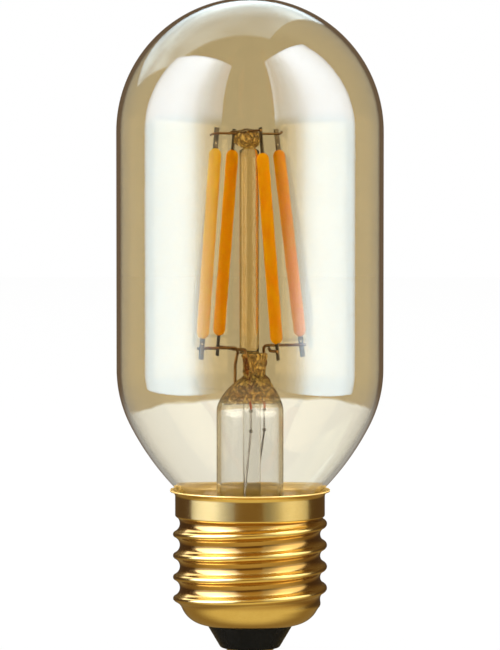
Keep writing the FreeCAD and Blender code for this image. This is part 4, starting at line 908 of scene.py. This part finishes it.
# Finish, two colours, scale of the mottling, roughness, metal, relief in millimetres, and the nodes
CAD_FINISHES = (
    ("arm_wire", (0.22, 0.12, 0.05), (0.34, 0.21, 0.10), 900.0, (0.25, 0.45), 1.0, 0.01,
     "top_wire_outer top_wire_inner lead_wire_left lead_wire_right branch_wire_left branch_wire_right"),
    ("tab_metal", (0.16, 0.135, 0.10), (0.10, 0.08, 0.06), 1200.0, (0.25, 0.45), 1.0, 0.01,
     "head_tab_a head_tab_b head_tab_c head_tab_d foot_tab_a foot_tab_b foot_tab_c foot_tab_d"),
    ("strip_ceramic", (0.80, 0.79, 0.74), (0.70, 0.69, 0.64), 800.0, (0.5, 0.7), 0.0, 0.0,
     "strip_a strip_b strip_c strip_d"),
    ("chip_die", (0.08, 0.12, 0.30), (0.14, 0.18, 0.36), 2500.0, (0.1, 0.25), 0.0, 0.0,
     "chips_a chips_b chips_c chips_d"),
    ("seal_copper", (0.48, 0.13, 0.05), (0.34, 0.08, 0.03), 900.0, (0.3, 0.5), 1.0, 0.0,
     "seal_wire_left seal_wire_right"),
    ("lead_tinned", (0.40, 0.37, 0.33), (0.24, 0.21, 0.18), 900.0, (0.3, 0.5), 1.0, 0.0,
     "outer_lead_left outer_lead_right centre_wire shell_wire"),
    ("solder_dull", (0.55, 0.55, 0.54), (0.40, 0.40, 0.40), 900.0, (0.3, 0.5), 1.0, 0.03, "contact_solder"),
    ("baked_cement", (0.78, 0.55, 0.25), (0.62, 0.42, 0.18), 500.0, (0.8, 0.95), 0.0, 0.05, "cap_cement"),
    ("board_green", (0.03, 0.13, 0.06), (0.05, 0.18, 0.08), 300.0, (0.35, 0.5), 0.0, 0.0, "driver_board"),
    ("package_black", (0.02, 0.02, 0.02), (0.035, 0.035, 0.035), 900.0, (0.4, 0.6), 0.0, 0.01,
     "rectifier driver_chip"),
    ("can_sleeve", (0.02, 0.03, 0.07), (0.03, 0.04, 0.09), 300.0, (0.25, 0.35), 0.0, 0.0,
     "smoothing_capacitor"),
    ("resistor_lacquer", (0.25, 0.36, 0.34), (0.19, 0.28, 0.26), 700.0, (0.45, 0.6), 0.0, 0.01,
     "fuse_resistor"),
)


def dress_lamp():
    """Every piece and CAD node with its finish."""
    dress(bulb_wall(), bulb_glass(), "bulb_glass", "glass_envelope")
    # the third colour given to each clear glass is its painted edge shade
    stem = clear_glass("stem_glass", (0.99, 0.985, 0.975), (0.17, 0.14, 0.11), 3.6, pinched=42.5, painted_glint=0.34)
    dress(stem_glass(), stem, "stem_glass", "stem_tube")
    thin = clear_glass("exhaust_glass", (0.97, 0.965, 0.95), (0.30, 0.27, 0.24), 3.0)
    dress(exhaust_glass(), thin, "stem_glass", "exhaust_tube")
    rod = clear_glass("pillar_glass", (0.94, 0.77, 0.47), (0.10, 0.04, 0.01), 1.8, pinched=WIRE_HEIGHT - 2.4,
                      painted_glint=0.3)
    dress(pillar_glass(), rod, "stem_glass", "centre_pillar")
    dress(cap_shell(), cap_metal(), "cap_metal", "screw_shell")
    black = plain_finish("insulator_black", (0.003, 0.003, 0.003), (0.006, 0.006, 0.006), 260.0, (0.14, 0.28),
                         height=0.01 * MM, specular=0.06)
    dress(insulator_block(), black, "insulator_black", "insulator")
    contact = plain_finish("contact_brass", (0.78, 0.56, 0.24), (0.60, 0.42, 0.18), 500.0, (0.22, 0.42),
                           metallic=1.0, height=0.01 * MM)
    dress(contact_disc(), contact, "contact_metal", "centre_contact")
    coat = phosphor()
    for index, name in enumerate("abcd"):
        slip = 0.75 if name == "c" else 0.0
        dress(phosphor_coat(name, slip, 1.7 * index), coat, "phosphor", "coat_" + name)
    for name, first, second, scale, rough, metallic, height, nodes in CAD_FINISHES:
        finish = plain_finish(name, first, second, scale, rough, metallic, height * MM)
        dress_cad(finish, *nodes.split())


# Studio

WHITE = (1.0, 1.0, 1.0)
# Tall panels: metres from the lamp's axis, height of their lower edge, and strengths where the front of
# the tube, the front of the dome and everything else reflect them
PANEL_DISTANCE = 0.6
PANEL_FOOT = -0.165
TUBE_STRENGTH = 9.4
DOME_STRENGTH = 10.4
PANEL_STRENGTH = 7.4
TUBE_TINT = (0.52, 0.76, 1.0)
DOME_TINT = (0.67, 0.80, 1.0)
# Share of the floor's colour that is plain white to the eye
FLOOR_WHITE = 0.985
# Height of the picture in pixels, and pixels in a millimetre at the lamp's axis
PICTURE_HEIGHT = 650
PIXELS_PER_MM = 5.93


def seen_plainly(tree):
    """1 for rays that come straight from the camera or only through clear glass, else 0."""
    path = node(tree, "LightPath")
    undiffused = maths(tree, "LESS_THAN", path.outputs["Diffuse Depth"], 0.5)
    unreflected = maths(tree, "LESS_THAN", path.outputs["Glossy Depth"], 0.5)
    through = times(tree, path.outputs["Is Transmission Ray"], times(tree, undiffused, unreflected))
    return maths(tree, "MAXIMUM", path.outputs["Is Camera Ray"], through)


def mirrored(tree):
    """1 for rays that come from a mirror-sharp surface and met no matt one, else 0."""
    path = node(tree, "LightPath")
    undiffused = maths(tree, "LESS_THAN", path.outputs["Diffuse Depth"], 0.5)
    return times(tree, path.outputs["Is Singular Ray"], undiffused)


def beyond_lamp(tree, vector):
    """1 where a direction runs along the front view's line or square to it, easing to 0 between."""
    size = node(tree, "VectorMath", operation="ABSOLUTE", Vector=vector).outputs[0]
    return maths(tree, "MAXIMUM", share(tree, size, "Y", 0.55, 0.8), share(tree, size, "X", 0.9, 0.98))


def studio_world():
    """White for the eye and, through glass, in the part behind the lamp.

    Mirror-sharp reflections, those of the glass, see a dim room with paler walls behind. Softer ones,
    those of the cap, see a warm dim room that is pale below.
    """
    world = bpy.data.worlds.new("studio")
    world.use_nodes = True
    tree = world.node_tree
    tree.nodes.clear()
    path = node(tree, "LightPath")
    direction = node(tree, "TexCoord").outputs["Generated"]
    glass = mix(tree, share(tree, direction, "Y", -0.1, 0.3), (0.01, 0.01, 0.01), (0.47, 0.43, 0.33))
    glass = mix(tree, share(tree, direction, "Y", 0.79, 0.89), glass, (0.15, 0.10, 0.06))
    glass = mix(tree, share(tree, direction, "Z", -0.09, -0.3), glass, (0.42, 0.40, 0.36))
    metal = mix(tree, share(tree, direction, "Y", -0.5, 0.2), (0.17, 0.11, 0.045), (0.085, 0.055, 0.03))
    above = mix(tree, share(tree, direction, "Y", -0.7, 0.1), (0.62, 0.48, 0.19), (0.13, 0.085, 0.035))
    metal = mix(tree, share(tree, direction, "Z", 0.1, 0.35), metal, above)
    ground = mix(tree, share(tree, direction, "Y", -0.3, 0.5), (0.70, 0.62, 0.33), (0.26, 0.19, 0.08))
    metal = mix(tree, share(tree, direction, "Z", -0.14, -0.4), metal, ground)
    deep = maths(tree, "GREATER_THAN", path.outputs["Transmission Depth"], 4.5)
    glass = mix(tree, deep, glass, (0.55, 0.44, 0.27))
    narrow = beyond_lamp(tree, direction)
    wide = maths(tree, "MAXIMUM", narrow, share(tree, direction, "Y", 0.0, 0.5))
    refracted = mix(tree, blend(tree, deep, narrow, wide), (0.13, 0.09, 0.05), WHITE)
    lit = mix(tree, mirrored(tree), metal, glass)
    beyond = mix(tree, seen_plainly(tree), lit, refracted)
    colour = mix(tree, path.outputs["Is Camera Ray"], beyond, WHITE)
    node(tree, "OutputWorld", Surface=node(tree, "Background", Color=colour).outputs[0])
    bpy.context.scene.world = world


def glowing_panel(name, corners, glow):
    """Panel between four corners in metres that glows in reflections and lights the lamp.

    glow makes the colour and strength from the material's nodes. The panel isn't seen by the camera or
    straight through glass, and casts no shadow.
    """
    mesh = bpy.data.meshes.new(name)
    mesh.from_pydata(corners, [], [(0, 1, 2, 3)])
    panel = bpy.data.objects.new(name, mesh)
    bpy.context.scene.collection.objects.link(panel)
    panel.visible_shadow = False
    material = bpy.data.materials.new(name + "_glow")
    material.use_nodes = True
    tree = material.node_tree
    tree.nodes.clear()
    colour, strength = glow(tree)
    light = node(tree, "Emission", Color=colour, Strength=strength)
    clear = node(tree, "BsdfTransparent")
    surface = mix_shader(tree, seen_plainly(tree), light.outputs[0], clear.outputs[0])
    node(tree, "OutputMaterial", Surface=surface)
    mesh.materials.append(material)


def softbox(name, side, turned, span, top, on_metal, metal_tint):
    """Tall panel whose middle stands at an angle from the camera's side of the lamp.

    side is -1 on the left and 1 on the right, turned the angle of its middle, span the angles of its
    front and rear edges, all in degrees, and top its upper edge in metres. Its glow changes with that
    angle. It is cool in the glass, where the amber coat warms it. on_metal gives its strength in the
    metal, low down and high up, and metal_tint its colour there.
    """
    middle = math.radians(turned)
    outward = np.array([side * math.sin(middle), -math.cos(middle), 0.0]) * PANEL_DISTANCE
    along = np.array([side * math.cos(middle), math.sin(middle), 0.0]) * PANEL_DISTANCE
    first, last = (math.tan(math.radians(angle - turned)) for angle in span)
    rows = ((first, PANEL_FOOT), (last, PANEL_FOOT), (last, top), (first, top))
    corners = [tuple(outward + along * offset + np.array([0, 0, height])) for offset, height in rows]

    def by_angle(tree, run, levels):
        """Glow from a table of angles, at a place along the panel."""
        stops = []
        for angle, level in levels:
            offset = math.tan(math.radians(angle - turned))
            place = min(max((offset - first) / (last - first), 0.0), 1.0)
            stops.append((place, (level, level, level)))
        return ramp(tree, run, stops)

    def glow(tree):
        """Colour and strength of the panel for each kind of reflection."""
        where = node(tree, "TexCoord").outputs["Object"]
        reach = PANEL_DISTANCE * (last - first)
        place = dot(tree, where, tuple(along / PANEL_DISTANCE / reach))
        run = minus(tree, place, first * PANEL_DISTANCE / reach)
        path = node(tree, "LightPath")
        sharp = mirrored(tree)
        diffused = maths(tree, "GREATER_THAN", path.outputs["Diffuse Depth"], 0.5)
        rear = maths(tree, "GREATER_THAN", path.outputs["Transmission Depth"], 2.5)
        high = share(tree, where, "Z", 0.11, 0.26)
        front_glow = blend(tree, high, by_angle(tree, run, TUBE_GLOW), by_angle(tree, run, DOME_GLOW))
        front_glow = times(tree, front_glow, blend(tree, high, TUBE_STRENGTH, DOME_STRENGTH))
        low_end = share(tree, where, "Z", -0.012, 0.008)
        rear_glow = times(tree, by_angle(tree, run, REAR_GLOW), low_end)
        rear_glow = times(tree, rear_glow, blend(tree, share(tree, where, "Z", 0.115, 0.16), 1.0, 0.4))
        in_glass = blend(tree, rear, front_glow, times(tree, rear_glow, PANEL_STRENGTH))
        in_metal = blend(tree, share(tree, where, "Z", 0.0, 0.15), on_metal[0], on_metal[1])
        softly = blend(tree, diffused, in_metal, PANEL_STRENGTH)
        softly = times(tree, softly, by_angle(tree, run, DOME_GLOW))
        cool = mix(tree, rear, mix(tree, high, TUBE_TINT, DOME_TINT), WHITE)
        plain = mix(tree, diffused, metal_tint, WHITE)
        return mix(tree, sharp, plain, cool), blend(tree, sharp, softly, in_glass)

    glowing_panel(name, corners, glow)


def ceiling_light():
    """White area overhead that runs back from above the lamp."""
    height = 1.2
    corners = [(-1.05, 0.1), (0.2, -0.05), (0.62, 1.8), (-2.2, 1.8)]
    points = [(x * height, y * height, height) for x, y in corners]

    def glow(tree):
        """Cloudy light, a little cooler in the glass."""
        strength = times(tree, noise(tree, object_point(tree), 1.2, 1.0), 3.6)
        return mix(tree, mirrored(tree), WHITE, (0.78, 0.92, 1.0)), strength

    glowing_panel("light_ceiling", points[::-1], glow)


# Glow of the softboxes by angle in degrees: for dome and metal, for the tube, and for the rear wall
DOME_GLOW = ((22.0, 0.36), (25.0, 0.24), (34.5, 0.36), (44.0, 0.55), (53.0, 0.85), (66.0, 0.95), (84.0, 0.83),
             (101.0, 0.50))
TUBE_GLOW = ((22.0, 0.0), (30.0, 0.04), (38.0, 0.18), (45.0, 0.48), (50.0, 0.76), (56.0, 0.92), (66.0, 0.95),
             (84.0, 0.83), (101.0, 0.50))
REAR_GLOW = ((22.0, 0.75), (25.0, 0.60), (34.5, 0.72), (44.0, 0.82), (53.0, 0.88), (66.0, 0.95), (84.0, 0.83),
             (101.0, 0.50))


def studio_floor():
    """Pale floor that reads white to the eye and keeps a soft shadow under the lamp."""
    mesh = bpy.data.meshes.new("floor")
    reach = 3.0
    mesh.from_pydata([(-reach, -reach, 0), (reach, -reach, 0), (reach, reach, 0), (-reach, reach, 0)], [],
                     [(0, 1, 2, 3)])
    floor = bpy.data.objects.new("floor", mesh)
    bpy.context.scene.collection.objects.link(floor)
    material, tree, shader = new_material("floor_paper")
    made = mottled(tree, (0.86, 0.86, 0.85), (0.84, 0.84, 0.83), 60.0, 1.0, (0.75, 0.85))
    feed(tree, shader, Base_Color=made.outputs["Color"], Roughness=made.outputs["Roughness"])
    path = node(tree, "LightPath")
    where = node(tree, "TexCoord").outputs["Object"]
    spread = node(tree, "VectorMath", operation="NORMALIZE", Vector=where).outputs[0]
    through = times(tree, seen_plainly(tree), beyond_lamp(tree, spread))
    seen = maths(tree, "MAXIMUM", path.outputs["Is Camera Ray"], through)
    white = node(tree, "Emission").outputs[0]
    paper = mix_shader(tree, times(tree, seen, FLOOR_WHITE), shader.outputs["BSDF"], white)
    after = times(tree, path.outputs["Is Transmission Ray"], mirrored(tree))
    hidden = minus(tree, after, seen, clamp=True)
    clear = node(tree, "BsdfTransparent").outputs[0]
    feed(tree, tree.nodes["Material Output"], Surface=mix_shader(tree, hidden, paper, clear))
    mesh.materials.append(material)
    floor.visible_glossy = False


def photo_camera():
    """Camera in front, a little above the middle, tilted down to the lamp's middle."""
    camera = bpy.data.objects.new("camera", bpy.data.cameras.new("camera"))
    bpy.context.scene.collection.objects.link(camera)
    distance, height, aim = 0.52, 0.074, 0.055
    long_side = PICTURE_HEIGHT / PIXELS_PER_MM * MM
    camera.location = (0.0, -distance, height)
    camera.rotation_euler = (math.pi / 2 - math.atan((height - aim) / distance), 0, 0)
    camera.data.sensor_width = 36.0
    camera.data.lens = 36.0 * math.hypot(distance, height - aim) / long_side
    camera.data.clip_start = 0.01
    bpy.context.scene.camera = camera


dress_lamp()
studio_world()
softbox("light_left", -1, 50.0, (24.0, 101.0), 1.06, (1.35, 6.8), (0.84, 0.97, 1.35))
softbox("light_right", 1, 60.0, (21.0, 100.5), 1.39, (1.05, 2.8), (0.9, 0.92, 0.85))
ceiling_light()
studio_floor()
photo_camera()
bpy.context.scene.view_settings.view_transform = "Standard"
